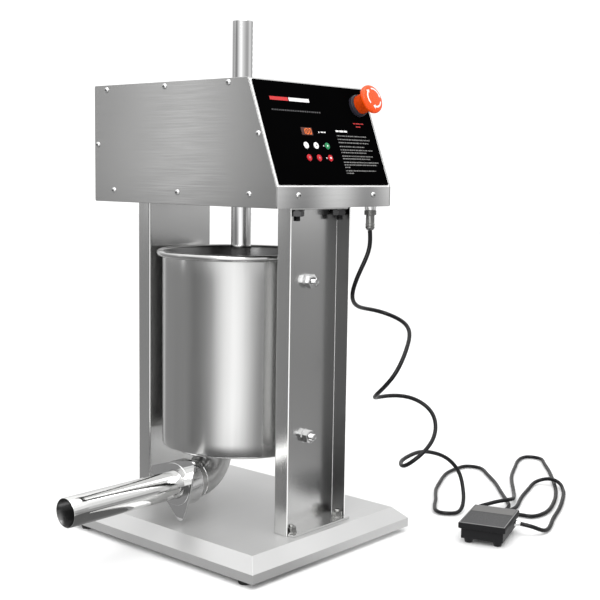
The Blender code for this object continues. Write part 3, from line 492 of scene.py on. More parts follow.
# ---- the pedal's lead ----
FLOOR = 0.0035
OVER = 0.0112
CORD_ROUTE = (
    (0.098, -0.153, 0.4361), (0.098, -0.153, 0.414), (0.086, -0.148, 0.382),
    (0.086, -0.135, 0.352), (0.130, -0.112, 0.323), (0.184, -0.110, 0.311),
    (0.190, -0.146, 0.299), (0.152, -0.182, 0.270), (0.114, -0.186, 0.232),
    (0.120, -0.154, 0.202), (0.180, -0.128, 0.188), (0.226, -0.149, 0.178),
    (0.232, -0.172, 0.162), (0.220, -0.188, 0.142), (0.193, -0.197, 0.124),
    (0.164, -0.195, 0.109), (0.160, -0.178, 0.096), (0.176, -0.159, 0.094),
    (0.207, -0.150, 0.096), (0.247, -0.143, 0.094), (0.283, -0.142, 0.086),
    (0.310, -0.151, 0.073), (0.324, -0.164, 0.050), (0.318, -0.175, 0.032),
    (0.297, -0.190, 0.012), (0.273, -0.193, FLOOR), (0.259, -0.174, FLOOR),
    (0.275, -0.153, FLOOR), (0.308, -0.132, FLOOR), (0.352, -0.102, FLOOR),
    (0.409, -0.073, FLOOR), (0.461, -0.053, FLOOR), (0.494, -0.050, FLOOR),
    (0.517, -0.054, FLOOR), (0.523, -0.074, FLOOR), (0.507, -0.098, FLOOR),
    (0.461, -0.146, FLOOR), (0.416, -0.186, FLOOR), (0.382, -0.217, FLOOR),
    (0.356, -0.235, FLOOR), (0.329, -0.239, FLOOR), (0.310, -0.230, FLOOR),
    (0.308, -0.211, FLOOR), (0.322, -0.201, FLOOR), (0.338, -0.207, 0.006),
    (0.353, -0.219, 0.010), (0.368, -0.228, OVER), (0.395, -0.221, 0.007),
    (0.437, -0.196, FLOOR), (0.516, -0.145, FLOOR), (0.585, -0.112, FLOOR),
    (0.629, -0.095, FLOOR), (0.651, -0.097, FLOOR), (0.657, -0.117, FLOOR),
    (0.640, -0.136, FLOOR), (0.602, -0.166, FLOOR), (0.544, -0.208, FLOOR),
    (0.478, -0.250, FLOOR), (0.406, -0.282, FLOOR), (0.360, -0.291, FLOOR),
    (0.338, -0.283, FLOOR), (0.335, -0.272, FLOOR), (0.333, -0.259, FLOOR),
    (0.341, -0.248, FLOOR), (0.357, -0.245, FLOOR), (0.387, -0.235, FLOOR),
    (0.421, -0.221, FLOOR), (0.479, -0.202, FLOOR), (0.515, -0.199, 0.007),
    (0.520, -0.214, OVER), (0.520, -0.231, 0.009), (0.506, -0.247, FLOOR),
    (0.465, -0.270, FLOOR), (0.405, -0.296, FLOOR), (0.346, -0.317, FLOOR),
    (0.311, -0.331, FLOOR), (0.285, -0.335, 0.006), (0.269, -0.328, 0.013),
    (0.2625, -0.3125, 0.0156),
)

INTO_GLAND = 0.003


def smooth_line(points, parts):
    """A natural cubic spline through the points, parts steps to each, kept off the floor."""
    knots = np.array(points)
    spans = np.linalg.norm(np.diff(knots, axis=0), axis=1)
    slopes = np.diff(knots, axis=0) / spans[:, None]
    count = len(knots)
    system = np.eye(count)
    right = np.zeros((count, 3))
    for k in range(1, count - 1):
        system[k, k - 1:k + 2] = (spans[k - 1], 2 * (spans[k - 1] + spans[k]), spans[k])
        right[k] = 6 * (slopes[k] - slopes[k - 1])
    bends = np.linalg.solve(system, right)
    line = []
    for k, span in enumerate(spans):
        for step in range(parts):
            ahead = step / parts
            back = 1 - ahead
            pull = (back ** 3 - back) * bends[k] + (ahead ** 3 - ahead) * bends[k + 1]
            x, y, z = back * knots[k] + ahead * knots[k + 1] + pull * span ** 2 / 6
            line.append(Vector((x, y, max(z, FLOOR))))
    line.append(Vector(knots[-1]))
    return line


def pedal_lead():
    line = [at(*point) for point in smooth_line(CORD_ROUTE, 12)]
    line.append(line[-1] + (line[-1] - line[-2]).normalized() * INTO_GLAND)
    data = bpy.data.curves.new("pedal_lead", "CURVE")
    data.dimensions = "3D"
    data.bevel_depth = 0.003
    data.bevel_resolution = 5
    data.use_fill_caps = True
    spline = data.splines.new("POLY")
    spline.points.add(len(line) - 1)
    for target, point in zip(spline.points, line):
        target.co = (*point, 1.0)
    spline.use_smooth = True
    data.materials.append(MATERIALS["cord_black"])
    lead = bpy.data.objects.new("pedal_lead", data)
    bpy.context.scene.collection.objects.link(lead)
    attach(lead, "machine")
    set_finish(lead, "black_rubber")
    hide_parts("pedal_cord")


# ---- can, outlet and rod ----
def fine_cylinder():
    """The can again with a round rim, finer round its axis."""
    outer = CAN_RADIUS
    inner = outer - CAN_WALL
    rim = 0.0045
    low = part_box(CAN_NODES[-1])[0].z
    top = CYL_HI.z - rim
    rim_x = (CYL_HI.x - CYL_LO.x) / 2 - rim
    curl = []
    for step in range(15):
        angle = math.radians(150 - 350 * step / 14)
        curl.append((rim_x + rim * math.cos(angle), top + rim * math.sin(angle)))
    fillet = [(outer - 0.004 * (1 - math.cos(math.radians(a))),
               low + 0.004 * (1 - math.sin(math.radians(a)))) for a in (0, 18, 36, 54, 72, 90)]
    profile = ([(0.0, low + 0.002), (inner - 0.003, low + 0.002), (inner, low + 0.005)]
               + [(inner, low + (top - low) * k / 6) for k in range(1, 7)] + curl
               + [(outer, top - 0.007)] + [(outer, top - 0.03 - (top - low - 0.05) * k / 6)
                                           for k in range(0, 7)]
               + fillet + [(0.0, low)])
    body = add("can", lathe("can", profile, 112), "machine", "cylinder_steel",
               "polished_stainless", at(0, 0, 0), angle=50)
    hole_shape = [(0, 0.02), (ELBOW_BORE, 0.02), (ELBOW_BORE, -0.02), (0, -0.02)]
    cutter = bpy.data.objects.new("cutter", lathe("cutter", hole_shape, 48))
    cutter.location = at(OUTLET_X, 0, low)
    bpy.context.scene.collection.objects.link(cutter)
    hole = body.modifiers.new("hole", "BOOLEAN")
    hole.object = cutter
    hole.solver = "EXACT"
    bake(body)
    bpy.data.objects.remove(cutter, do_unlink=True)
    body.data.shade_smooth()
    body.data.set_sharp_from_angle(angle=math.radians(50))
    # painted shade inside the can
    paint_shade_inside(body, at(0, 0, 0), Vector((0, 0, 1)), outer - 0.001, CYL_HI.z - 0.003)
    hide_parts(*CAN_NODES)


def paint_shade_inside(item, origin, axis, radius, limit):
    """Give the faces inside a round wall a painted shade, a dark copy of the steel."""
    item.data.materials.append(MATERIALS["painted_shade_inner_steel"])
    matrix = item.matrix_world
    for face in item.data.polygons:
        away = matrix @ face.center - origin
        away -= axis * away.dot(axis)
        faces_in = (matrix.to_3x3() @ face.normal).dot(away) < 0 or away.length < 0.01
        if away.length < radius and faces_in and (matrix @ face.center).z < limit:
            face.material_index = 1


def bake(item):
    """Make the modifiers' result the object's own mesh."""
    bpy.context.view_layer.update()
    depsgraph = bpy.context.evaluated_depsgraph_get()
    mesh = bpy.data.meshes.new_from_object(item.evaluated_get(depsgraph))
    item.modifiers.clear()
    item.data = mesh


OUTLET_X = -0.051
ELBOW_BORE = 0.0242
TUBE_Z = 0.0907
NUT_FACE = -0.1245
ELBOW_END = NUT_FACE + 0.0165


def outlet():
    """Elbow with weld beads and ferrule thread, nut rings and the filling tube."""
    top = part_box("outlet_elbow")[1].z
    bend_r = 0.038
    centre = (OUTLET_X - bend_r, TUBE_Z + bend_r)
    points = [at(OUTLET_X, 0, top)]
    for step in range(17):
        angle = -math.pi / 2 * step / 16
        points.append(at(centre[0] + bend_r * math.cos(angle), 0,
                         centre[1] + bend_r * math.sin(angle)))
    points.append(at(ELBOW_END + 0.0115, 0, TUBE_Z))
    elbow = sweep("elbow", points, 0.0260, ELBOW_BORE, 56)
    ferrule = lathe("ferrule", [(ELBOW_BORE, 0.0118), (0.0262, 0.0118), (0.0270, 0.0106),
                                (0.0270, 0.0094), (0.0262, 0.0088), (0.0270, 0.0082),
                                (0.0270, 0.0070), (0.0262, 0.0064), (0.0270, 0.0058),
                                (0.0270, 0.0002), (ELBOW_BORE, 0.0002)], 56, ring=True)
    piece = add("elbow", merged("elbow", [
        (elbow, Matrix.Identity(4)),
        (ferrule, Matrix.Translation(at(ELBOW_END + 0.012, 0, TUBE_Z))
         @ Matrix.Rotation(-math.pi / 2, 4, "Y"))]), "machine", "elbow_steel",
        "polished_stainless", angle=40)
    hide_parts("outlet_elbow")
    bead("weld_top", 0.0258, at(OUTLET_X, 0, top - 0.0006), (0, 0, 0), 0.0011)
    bead("weld_front", 0.0259, at(ELBOW_END + 0.0124, 0, TUBE_Z), TO_TUBE, 0.0010)
    bead("weld_mitre", 0.0259, at(centre[0] + 0.0025, 0, TUBE_Z), TO_TUBE, 0.0007)

    lo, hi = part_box("filling_tube")
    radius = 0.0191
    bore = radius - 0.0013
    length = hi.x - lo.x
    profile = [(bore, length - 0.0004), (bore + 0.0004, length), (radius - 0.0004, length),
               (radius, length - 0.0005)]
    profile += [(radius, length * (1 - k / 8) + 0.004 * k / 8) for k in range(1, 8)]
    profile += [(radius, 0.0040), (radius + 0.0012, 0.0028), (0.0258, 0.0026), (0.0262, 0.0022),
                (0.0262, 0.0), (bore, 0.0)]
    tube = add("tube", lathe("tube", profile, 64, ring=True), "machine", "polished_stainless",
               "polished_stainless", (hi.x, 0, TUBE_Z), TO_TUBE, angle=50)
    bpy.context.view_layer.update()
    # painted shade inside the tube's bore
    paint_shade_inside(tube, Vector((hi.x, 0, TUBE_Z)), Vector((1, 0, 0)), radius - 0.0008, 1.0)
    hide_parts("filling_tube")


def bead(name, radius, location, rotation, thick):
    """A weld bead: a ring whose thickness ripples."""
    sides, tube = 96, 8
    verts = []
    rows = []
    for k in range(sides):
        rows.append(list(range(len(verts), len(verts) + tube)))
        angle = 2 * math.pi * k / sides
        swell = thick * (1 + 0.22 * math.sin(24 * angle) + 0.08 * math.sin(7 * angle + 1))
        for j in range(tube):
            turn = 2 * math.pi * j / tube
            reach = radius + swell * math.cos(turn)
            verts.append((reach * math.cos(angle), reach * math.sin(angle),
                          swell * math.sin(turn)))
    mesh = mesh_of(name, verts, quads(rows, closed=True))
    add(name, mesh, "machine", "polished_stainless", "polished_stainless", location, rotation,
        angle=180)


# ---- fasteners ----
def side_screws():
    """Button-head screws round both side covers and along the front lip."""
    spots = [(0.152, 0.6245), (0.031, 0.6250), (-0.089, 0.6255), (0.172, 0.549),
             (-0.142, 0.561), (0.137, 0.4855), (0.0055, 0.4855), (-0.127, 0.486)]
    head = button_screw("screw", 0.0041, 0.0018)
    # a dark disc on the floor of each socket: painted shade
    socket = slab("socket", disc(0.00175, 6), 0.00072, 0.00090)

    def screws(heads, sockets, places):
        for name, mesh, finish in ((heads, head, "chrome"), (sockets, socket, "socket_shade_and_dark_print")):
            parts = [(mesh, place) for place in places]
            add(name, merged("screws", parts), "machine", finish, "chrome")

    for side, x, turn in (("left", COVER_LEFT, -math.pi / 2),
                          ("right", 2 * AXIS_X - COVER_LEFT, math.pi / 2)):
        screws(f"cover_screws_{side}", f"cover_sockets_{side}",
               [Matrix.Translation((x, y, z)) @ Matrix.Rotation(turn, 4, "Y") for y, z in spots])
    screws("lip_screws", "lip_sockets",
           [Matrix.Translation(at(x, HEAD_FRONT, LIP_SCREW_Z))
            @ Matrix.Rotation(math.pi / 2, 4, "X") for x in (-0.074, 0.0776)])


def column_bolts():
    """Nuts and bolt ends on the tabs of both columns, below and above."""
    sizes = {"foot": (0.0130, 0.0060, 0.0038, 0.0100), "head": (0.0165, 0.0075, 0.0047, 0.0145)}
    low = BASE_TOP + TAB
    high = HEAD_LO.z - 0.0003 - TAB
    up = Matrix.Identity(4)
    down = Matrix.Rotation(math.pi, 4, "X")
    for side, sign in (("front", -1), ("rear", 1)):
        for label, z, turn, spots in (("foot", low, up, (-0.048, 0.048)),
                                      ("head", high, down, (-0.0400, 0.0465))):
            across, tall, bore, reach = sizes[label]
            nut = hexnut(across, tall, bore)
            flat = across * 0.61
            ring = lathe("ring", [(bore + 0.0004, 0.0012), (flat - 0.0002, 0.0012),
                                  (flat, 0.0010), (flat, 0), (bore + 0.0004, 0)], 32, ring=True)
            stud = threaded(bore, reach)
            parts = []
            for x in spots:
                y = sign * (0.145 if label == "foot" else 0.1405)
                base = Matrix.Translation(at(x, y, z)) @ turn
                spin = Matrix.Rotation(math.radians(17 + 40 * (x > 0)), 4, "Z")
                parts.append((ring, base))
                parts.append((nut, base @ Matrix.Translation((0, 0, 0.0012)) @ spin))
                parts.append((stud, base @ Matrix.Translation((0, 0, 0.0002))))
            # the nuts under the head get painted shade
            finish = "painted_shade_zinc" if label == "head" else "dull_chrome"
            add(f"tab_bolts_{label}_{side}", merged("bolts", parts), "machine", finish, "chrome")


def paint_flange_shade_and_edge_highlight():
    """Painted shade on the channels' inner flanges, a painted highlight on their cut edges."""
    for node, outward in (("front_column", -1), ("rear_column", 1)):
        item = NODES[node]
        # painted shade: the inner flanges take a dark copy of the steel
        item.data.materials.append(MATERIALS["painted_shade_flange_steel"])
        # painted highlight: the outward cut edges take a near-white colour
        item.data.materials.append(MATERIALS["painted_highlight_steel"])
        for face in item.data.polygons:
            aside = (item.matrix_world @ face.center).x - AXIS_X
            normal = (item.matrix_world.to_3x3() @ face.normal).normalized()
            if abs(aside) <= FLANGE_INNER:
                continue
            if normal.y * outward > 0.9:
                face.material_index = 2
            elif normal.x * aside < -0.5 * abs(aside):
                face.material_index = 1


def head_front():
    """Painted highlight on the slanted face round the overlay; painted reflection bands on the
    lip.
    """
    item = NODES["head_shell"]
    middle = (item.matrix_world.inverted() @ at(0, 0, 0)).x
    # painted reflection: light and dark upright bands across the lip
    lip_painted_reflection = painted_reflection_bands("lip_painted_reflection", (0.40, 0.40, 0.40), (0.88, 0.88, 0.875), middle, 0.132)
    # painted highlight over the whole slanted face
    item.data.materials.append(MATERIALS["painted_highlight_steel"])
    item.data.materials.append(lip_painted_reflection)
    slanted = Vector((0, -math.cos(SLANT), math.sin(SLANT)))
    for face in item.data.polygons:
        normal = (item.matrix_world.to_3x3() @ face.normal).normalized()
        if normal.dot(slanted) > 0.99:
            face.material_index = 1
        elif normal.y < -0.99:
            # the lip takes the painted reflection bands
            face.material_index = 2


def pivot_nuts():
    """Finer nuts, washers and bolt ends outside the columns' webs."""
    nut = hexnut(0.0170, 0.0078, 0.0052)
    ring = lathe("ring", [(0.0053, 0.0010), (0.0098, 0.0010), (0.0100, 0.0008), (0.0100, 0),
                          (0.0053, 0)], 40, ring=True)
    for level, name in (("lower", "pivot"), ("upper", "lock")):
        for side, sign in (("front", -1), ("rear", 1)):
            node = f"{level}_{name}_nut_{side}"
            lo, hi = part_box(node)
            middle = (lo + hi) / 2
            inner = hi.y if sign < 0 else lo.y
            turn = Matrix.Rotation(math.pi / 2 * (1 if sign < 0 else -1), 4, "X")
            base = Matrix.Translation((middle.x, inner, middle.z)) @ turn
            spin = Matrix.Rotation(math.radians(12 if level == "lower" else 41), 4, "Z")
            piece = add(f"hex_nut_{level}_{side}", merged("nut", [
                (nut, base @ Matrix.Translation((0, 0, 0.0010)) @ spin), (ring, base)]),
                "machine", "chrome", "chrome")
            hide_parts(node)
            pin = f"{level}_{'pivot_pin' if level == 'lower' else 'lock_bolt'}_{side}"
            lo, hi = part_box(pin)
            start = hi.y if sign < 0 else lo.y
            reach = hi.y - lo.y
            shoulder = 0.0142
            profile = [(0.0095, 0.0), (0.0095, shoulder - 0.0008), (0.0087, shoulder)]
            body = lathe("body", [(0, reach - 0.0004), (0.0020, reach - 0.0004),
                                  (0.0020, reach), (0.0042, reach), (0.0050, reach - 0.0008)]
                         + [(0.0050 - 0.0004 * (k % 2), reach - 0.0012 - 0.0006 * k)
                            for k in range(17)]
                         + [(0.0050, shoulder)] + profile[::-1] + [(0, 0)], 32)
            made = add(f"bolt_{level}_{side}", merged("bolt", [
                (body, Matrix.Translation((middle.x, start, middle.z)) @ turn)]),
                "machine", "chrome", "chrome")
            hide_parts(pin)


# ---- panel ----
def print_on_panel(name, outlines, finish, slot, height=OVERLAY_TOP, thick=0.00012,
                   body="machine"):
    parts = [(slab("print", outline, 0.0, thick), Matrix.Identity(4)) for outline in outlines]
    return add(name, merged(name, parts), body, finish, slot, on_panel(0, 0, height), TO_PANEL)


def digits(text, x, y, tall, wide, pitch, thick):
    """Seven-segment digits as outlines, from the lower left corner (x, y)."""
    lit = {"0": "abcdef", "1": "bc"}
    bars = {"a": (0, 2, 2), "b": (1, 1, 2), "c": (1, 0, 1), "d": (0, 0, 0), "e": (0, 0, 1),
            "f": (0, 1, 2)}                  # column, lower and upper end
    outlines = []
    for number, digit in enumerate(text):
        for segment in lit[digit]:
            x0, y0, y1 = bars[segment]
            left = x + number * pitch
            gap = thick * 0.12
            if y0 == y1:
                outlines.append(bar(left + gap, left + wide - gap, y + y0 * tall / 2 - thick / 2,
                                    y + y0 * tall / 2 + thick / 2))
            else:
                outlines.append(bar(left + x0 * wide - thick / 2, left + x0 * wide + thick / 2,
                                    y + y0 * tall / 2 + gap, y + y1 * tall / 2 - gap))
    return outlines


def panel_graphics():
    """Plain marks where the panel is printed, the lit digits and the marks on its keys."""
    random.seed(4)
    print_on_panel("emblem_red", [bar(-0.087, -0.053, 0.1152, 0.1200)], "print_red", "red_plastic")
    print_on_panel("emblem_white", [bar(-0.0515, -0.012, 0.1152, 0.1200)], "print_white",
                   "white_plastic")
    dashes = []
    x = -0.0885
    while x < 0.004:
        wide = random.uniform(0.0015, 0.0035)
        dashes.append(bar(x, x + wide, 0.1012, 0.1030))
        x += wide + 0.0013
    print_on_panel("subtitle_line", dashes, "print_dim", "grey_plastic")
    notes = []
    for y, length in ((0.0702, 0.062), (0.0652, 0.068), (0.0607, 0.063), (0.0552, 0.053),
                      (0.0505, 0.068), (0.0468, 0.053), (0.0418, 0.066), (0.0381, 0.0575),
                      (0.0331, 0.074), (0.0295, 0.069), (0.0260, 0.0106), (0.0213, 0.0635),
                      (0.0178, 0.0153)):
        x = 0.0265
        end = x + length
        while x < end:
            wide = random.uniform(0.0008, 0.0036)
            notes.append(bar(x, min(x + wide, end), y, y + 0.0014))
            x += wide + random.uniform(0.0007, 0.0016)
    print_on_panel("notes_lines", notes, "print_grey", "grey_plastic")
    heading = [bar(x0, x1, 0.0762, 0.0786)
               for x0, x1 in ((0.0265, 0.0325), (0.0340, 0.0425), (0.0438, 0.0500))]
    print_on_panel("notes_heading", heading, "print_white", "white_plastic")
    label = [bar(x0, x1, y, y + 0.0015)
             for x0, x1, y in ((0.0680, 0.0735, 0.0890), (0.0745, 0.0830, 0.0890),
                               (0.0842, 0.0900, 0.0890), (0.0725, 0.0765, 0.0845),
                               (0.0775, 0.0820, 0.0845))]
    print_on_panel("stop_label", label, "print_red", "red_plastic")
    lit = digits("100", -0.0395, 0.0714, 0.0074, 0.0034, 0.0061, 0.00075)
    print_on_panel("display_digits", lit, "led_orange", "display_red", OVERLAY_TOP + 0.00002,
                   0.0001)
    marks = [bar(-0.0072, -0.0056, row - 0.0008, row + 0.0008) for row in KEY_ROWS]
    marks += [bar(-0.0098, -0.0078, 0.0736, 0.0754), bar(-0.0050, 0.0000, 0.0740, 0.0754),
              bar(0.0010, 0.0048, 0.0740, 0.0754)]
    print_on_panel("key_labels", marks, "print_white", "white_plastic")
    key_marks()


def key_marks():
    """A plain sign on each key."""
    long, thin = 0.0018, 0.00035
    cross = [bar(-long, long, -thin, thin), bar(-thin, thin, -long, long)]
    up = [[(-0.0015, -0.0010), (0.0015, -0.0010), (0, 0.0017)]]
    down = [[(-0.0015, 0.0010), (0, -0.0017), (0.0015, 0.0010)]]
    play = [[(-0.0010, -0.0016), (0.0017, 0), (-0.0010, 0.0016)]]
    stop = [bar(-0.0013, 0.0013, -0.0013, 0.0013)]
    minus = [bar(-long, long, -thin, thin)]
    keys = ((("key_speed_down", minus, "socket_shade_and_dark_print"), ("key_speed_up", cross, "socket_shade_and_dark_print"),
             ("key_start", play, "print_white")),
            (("key_fill", down, "print_key"), ("key_return", up, "print_key"),
             ("key_stop", stop, "print_white")))
    for y, row in zip(KEY_ROWS, keys):
        for x, (key, outlines, finish) in zip(KEY_COLUMNS, row):
            moved = [[(x + a, y + b) for a, b in outline] for outline in outlines]
            print_on_panel(f"{key}_sign", moved, finish, SLOTS[key], KEY_TOP, 0.00008, body=key)


# ---- emergency stop ----
def emergency_stop():
    """A finer mushroom head with three curved arrows on its crown."""
    points = [(0, 0.01330), (0.004, 0.01326), (0.008, 0.01316), (0.0120, 0.01297),
              (0.0150, 0.01262), (0.0172, 0.01205), (0.0187, 0.01105), (0.0196, 0.0096),
              (0.0200, 0.0078), (0.0199, 0.0062), (0.0194, 0.0050), (0.0182, 0.0044),
              (0.0138, 0.0040), (0.0132, 0.0034), (0.0132, -0.0134), (0.0128, -0.0138),
              (0.0086, -0.0138), (0.0086, 0.0), (0, 0)]
    spot = on_panel(*ESTOP, 0.0208)
    cap = add("stop_cap", lathe("stop_cap", points, 72), "estop_head", "stop_orange",
              "red_plastic", spot, TO_PANEL, angle=50)
    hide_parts("estop_mushroom")

    def surface(radius):
        for (r0, z0), (r1, z1) in zip(points, points[1:]):
            if r0 <= radius <= r1:
                return z0 + (z1 - z0) * (radius - r0) / (r1 - r0)
        return 0.0

    verts = []
    faces = []

    def strip(cells):
        for row in range(len(cells) - 1):
            for col in range(len(cells[0]) - 1):
                faces.append((cells[row][col], cells[row][col + 1], cells[row + 1][col + 1],
                              cells[row + 1][col]))

    def point(radius, angle):
        height = surface(radius) + 0.00012
        verts.append((radius * math.cos(angle), radius * math.sin(angle), height))
        return len(verts) - 1

    for number in range(3):
        start = math.radians(20 + 120 * number)
        shaft = [[point(r, start + math.radians(a)) for a in range(0, 79, 6)]
                 for r in (0.0118, 0.0130, 0.0142)]
        strip(shaft)
        tip = []
        for k in range(5):
            reach = 0.0032 * (1 - k / 4)
            tip.append([point(0.0130 + off, start + math.radians(-k * 5))
                        for off in (-reach, 0, reach + 0.00001)])
        strip(tip)
    mesh = mesh_of("stop_arrows", verts, faces)
    arrows = add("stop_arrows", mesh, "estop_head", "print_white", "white_plastic", spot,
                 TO_PANEL, angle=180)
    thick = arrows.modifiers.new("thick", "SOLIDIFY")
    thick.thickness = 0.0001
    thick.offset = 1.0
    points = [(0.0136, 0.0070), (0.0146, 0.0070), (0.0150, 0.0064), (0.0150, 0.0048),
              (0.0155, 0.0042), (0.0155, 0.0), (0.0136, 0)]
    collar = add("stop_collar", lathe("collar", points, 56, ring=True), "machine",
                 "collar_black", "grey_plastic", on_panel(*ESTOP, 0.0018), TO_PANEL)
    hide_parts("estop_collar")


# ---- connector, inlet, pedal ----
def connector():
    """Ribbed shell of the pedal's plug, its ring and its clamp."""
    lo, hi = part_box("pedal_plug")
    x, y = (lo.x + hi.x) / 2, (lo.y + hi.y) / 2
    tall = hi.z - lo.z
    points = [(0, tall), (0.0078, tall), (0.0086, tall - 0.0008)]
    z = tall - 0.0012
    while z > tall - 0.0062:
        points += [(0.0086, z), (0.0082, z - 0.0003), (0.0086, z - 0.0006)]
        z -= 0.0009
    points += [(0.0086, tall - 0.0066), (0.0063, tall - 0.0072), (0.0060, tall - 0.0078),
               (0.0060, 0.0090), (0.0064, 0.0086), (0.0064, 0.0060), (0.0058, 0.0054),
               (0.0064, 0.0048), (0.0064, 0.0030), (0.0052, 0.0012), (0.0046, 0), (0, 0)]
    plug = add("plug_shell", lathe("plug", points, 40), "machine", "dull_chrome", "chrome",
               (x, y, lo.z))
    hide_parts("pedal_plug")


def inlet_pins():
    lo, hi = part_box("mains_inlet")
    middle = (lo + hi) / 2
    parts = []
    for dx, dz in ((-0.007, -0.001), (0.0, 0.003), (0.007, -0.001)):
        blade = slab("blade", bar(-0.0010, 0.0010, -0.0020, 0.0020), -0.0020, 0.0004)
        parts.append((blade, Matrix.Translation((middle.x + dx, hi.y - 0.0012, middle.z + dz))
                      @ Matrix.Rotation(-math.pi / 2, 4, "X")))
    add("inlet_blades", merged("blades", parts), "machine", "machined_steel", "machined_steel")


PEDAL = (0.223, -0.283)
PEDAL_TURN = math.radians(18.6)


def pedal_details():
    """Fine ribs in a lighter painted-light grey, a plain band behind them and a painted highlight
    edge.
    """
    matrix = Matrix.Translation(at(*PEDAL, 0)) @ Matrix.Rotation(PEDAL_TURN, 4, "Z")
    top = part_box("pedal_treadle")[1].z
    half = 0.0302
    section = ((-0.00062, -0.0001), (-0.00034, 0.00026), (0.00034, 0.00026), (0.00062, -0.0001))
    faces = [(0, 1, 3, 2), (2, 3, 5, 4), (4, 5, 7, 6), (6, 7, 1, 0), (0, 2, 4, 6), (1, 7, 5, 3)]
    pitch = 0.0019
    parts = []
    for k in range(30):
        verts = []
        for along, up in section:
            x = -0.0425 + pitch * k + along
            verts += [(x, half, top + up), (x, -half, top + up)]
        parts.append((mesh_of("rib", verts, faces), matrix))
    # the ribs on top take the lighter painted-light grey
    add("treadle_ribs", merged("ribs", parts), "treadle", "painted_light_tread_grey", "black_plastic")

    def plates(name, outlines, finish):
        parts = [(slab(name, bar(*outline), top - 0.0001, top + 0.0003), matrix)
                 for outline in outlines]
        add(name, merged(name, parts), "treadle", finish, "black_plastic")

    inner, outer = 0.0310, 0.0322
    plates("treadle_band", [(0.0150, 0.0437, -half, half)], "band_grey")
    # painted highlight: a light grey rim round the treadle's top
    plates("treadle_edge", [(-0.0462, -0.0446, -outer, outer), (0.0447, 0.0460, -outer, outer),
                            (-0.0446, 0.0447, inner, outer), (-0.0446, 0.0447, -outer, -inner)],
           "painted_highlight_grey")


# ---- light and floor ----
def floor():
    size = 9.0
    mesh = mesh_of("floor", [(-size, -size, -0.0004), (size, -size, -0.0004),
                             (size, size, -0.0004), (-size, size, -0.0004)], [(0, 1, 2, 3)])
    made = Nodes("floor_paint")
    made.set(Base_Color=(0.86, 0.86, 0.86, 1), Roughness=0.9)
    made.shader.inputs["Specular IOR Level"].default_value = 0.1
    mesh.materials.append(made.material)
    item = bpy.data.objects.new("floor", mesh)
    item.visible_glossy = False
    bpy.context.scene.collection.objects.link(item)


def softbox(name, azimuth, elevation, distance, size, tall, power):
    """An area light; azimuth 0 is in front of the panel and -90 on the tube's side."""
    data = bpy.data.lights.new(name, "AREA")
    data.shape = "RECTANGLE"
    data.size = size
    data.size_y = tall
    data.energy = power
    item = bpy.data.objects.new(name, data)
    a, e = math.radians(azimuth), math.radians(elevation)
    back = Vector((math.sin(a) * math.cos(e), -math.cos(a) * math.cos(e), math.sin(e)))
    item.location = Vector((0, 0, 0.33)) + back * distance
    item.rotation_mode = "QUATERNION"
    item.rotation_quaternion = (-back).to_track_quat("-Z", "Y")
    bpy.context.scene.collection.objects.link(item)


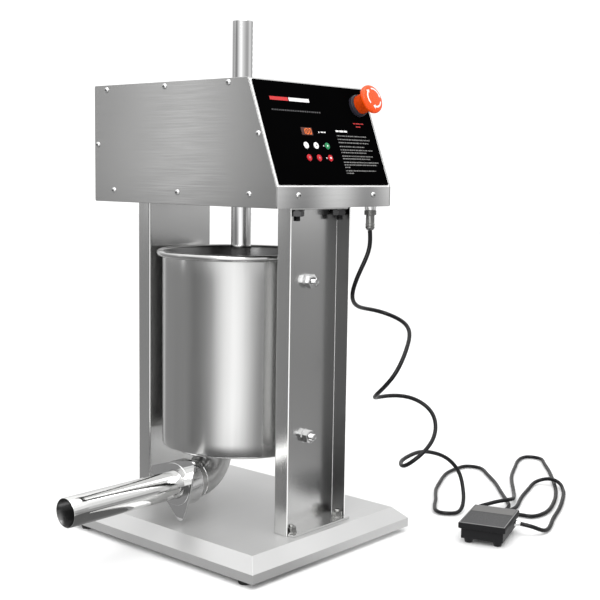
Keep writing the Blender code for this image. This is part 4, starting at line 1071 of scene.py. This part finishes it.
def studio():
    """What bright metal sees: grey walls with light bands, a pale ceiling and a grey floor.

    It is one big drum that only reflections meet. Its brightness goes by the direction from
    the machine, 0 in front of the panel and -90 on the tube's side.
    """
    wall_bands = ((-180, 0.50), (-150, 0.42), (-143, 0.42), (-140, 0.52), (-137, 1.60),
                  (-134.5, 0.60), (-131, 0.30), (-118, 0.26), (-100, 0.40), (-88, 0.75),
                  (-66, 1.20), (-50, 1.30), (-38, 0.90), (-14, 0.62), (2, 0.45), (26, 0.44),
                  (38, 0.74), (56, 0.80), (70, 0.70), (92, 0.30), (118, 0.74), (150, 0.74),
                  (180, 0.50))
    floor_bands = ((-180, 0.32), (-149, 0.30), (-128, 0.30), (-115, 0.19), (-101, 0.24),
                   (-88, 0.38), (-75, 0.86), (-63, 1.30), (-52, 1.48), (-41, 1.24),
                   (-29, 0.74), (-16, 0.38), (-2, 0.31), (26, 0.38), (42, 0.30), (64, 0.30),
                   (82, 0.45), (130, 0.95), (160, 0.80), (176, 0.32), (180, 0.30))
    near_bands = ((-180, 0.40), (-150, 0.30), (-110, 0.26), (-84, 0.14), (4, 0.12),
                  (28, 0.60), (46, 0.90), (66, 0.90), (100, 0.60), (180, 0.50))
    size = 4.0                           # the drum's radius and height
    drum = lathe("drum", [(0.0, size), (size * 0.7, size), (size, size * 0.7), (size, 0.0),
                          (0.0, 0.0)], 48)
    mesh = merged("studio", [(drum, Matrix.Translation((0, 0, -0.0008)))])
    made = Nodes("studio")
    tree = made.tree

    def math_node(operation, first, second=None):
        node = tree.nodes.new("ShaderNodeMath")
        node.operation = operation
        made.put(node.inputs[0], first)
        if second is not None:
            made.put(node.inputs[1], second)
        return node.outputs[0]

    split = tree.nodes.new("ShaderNodeSeparateXYZ")
    tree.links.new(made.coords, split.inputs[0])
    x, y, z = split.outputs
    away = math_node("SQRT", math_node("ADD", math_node("MULTIPLY", x, x),
                                       math_node("MULTIPLY", y, y)))
    turn = math_node("ARCTAN2", x, math_node("MULTIPLY", y, -1.0))
    turned = made.spread(turn, 0, 1, -math.pi, math.pi)

    def grey_bands(bands):
        ramp = tree.nodes.new("ShaderNodeValToRGB")
        stops = ramp.color_ramp.elements
        while len(stops) > 1:
            stops.remove(stops[0])
        for index, (degrees, grey) in enumerate(bands):
            place = (degrees + 180) / 360
            stop = stops[0] if index == 0 else stops.new(place)
            stop.position = place
            stop.color = (grey / 2, grey / 2, grey / 2, 1)
        made.put(ramp.inputs[0], turned)
        return math_node("MULTIPLY", ramp.outputs[0], 2.0)

    steep = math_node("DIVIDE", z, math_node("MAXIMUM", away, 0.01))

    def fade(value, first, second, low, high_end):
        node = tree.nodes.new("ShaderNodeMapRange")
        node.interpolation_type = "SMOOTHSTEP"
        for socket, number in (("Value", value), ("From Min", low), ("From Max", high_end),
                               ("To Min", first), ("To Max", second)):
            made.put(node.inputs[socket], number)
        return node.outputs["Result"]

    level = fade(z, grey_bands(floor_bands), grey_bands(wall_bands), 0.20, 0.38)
    level = fade(away, grey_bands(near_bands), level, 0.42, 0.62)
    overhead = fade(steep, 0.98, 1.25, 0.64, 0.84)
    level = fade(steep, level, overhead, 0.29, 0.40)
    lamp = tree.nodes.new("ShaderNodeEmission")
    made.put(lamp.inputs["Strength"], level)
    tree.links.new(lamp.outputs[0], tree.nodes["Material Output"].inputs["Surface"])
    tree.nodes.remove(made.shader)
    mesh.materials.append(made.material)
    item = bpy.data.objects.new("studio", mesh)
    item.visible_camera = False
    item.visible_shadow = False
    item.visible_diffuse = False
    item.visible_transmission = False
    bpy.context.scene.collection.objects.link(item)


def light():
    bpy.context.scene.view_settings.view_transform = "Standard"
    world = bpy.data.worlds.new("studio")
    bpy.context.scene.world = world
    world.use_nodes = True
    shade = world.node_tree.nodes["Background"]
    shade.inputs["Color"].default_value = (1, 1, 1, 1)
    shade.inputs["Strength"].default_value = 1.2
    softbox("key", -60, 34, 2.6, 1.3, 1.6, 30)
    softbox("top", -20, 80, 2.2, 1.8, 1.8, 22)
    studio()


# ---- everything ----
camera()
MATERIALS = make_materials()
pedal_lead()

FINISH = dict(SLOTS)
FINISH.update({"front_column": "column_stainless", "rear_column": "column_stainless",
               "base_plate": "base_stainless"})
EDGES = {"head_left_cover": 0.0011, "head_right_cover": 0.0011, "front_column": 0.0007,
         "rear_column": 0.0007}
REPLACED = {"cylinder", "cylinder_floor", "outlet_elbow", "filling_tube", "estop_mushroom",
            "estop_collar", "pedal_cord", "pedal_plug"}
for node_name in NODES:
    fastener = any(kind in node_name for kind in ("_nut_", "_pin_", "_bolt_"))
    if node_name not in REPLACED and not fastener:
        dress(node_name, FINISH[node_name], EDGES.get(node_name, 0.0003))

paint_flange_shade_and_edge_highlight()
head_front()
fine_cylinder()
outlet()
side_screws()
column_bolts()
pivot_nuts()
panel_graphics()
emergency_stop()
connector()
inlet_pins()
pedal_details()
floor()
light()
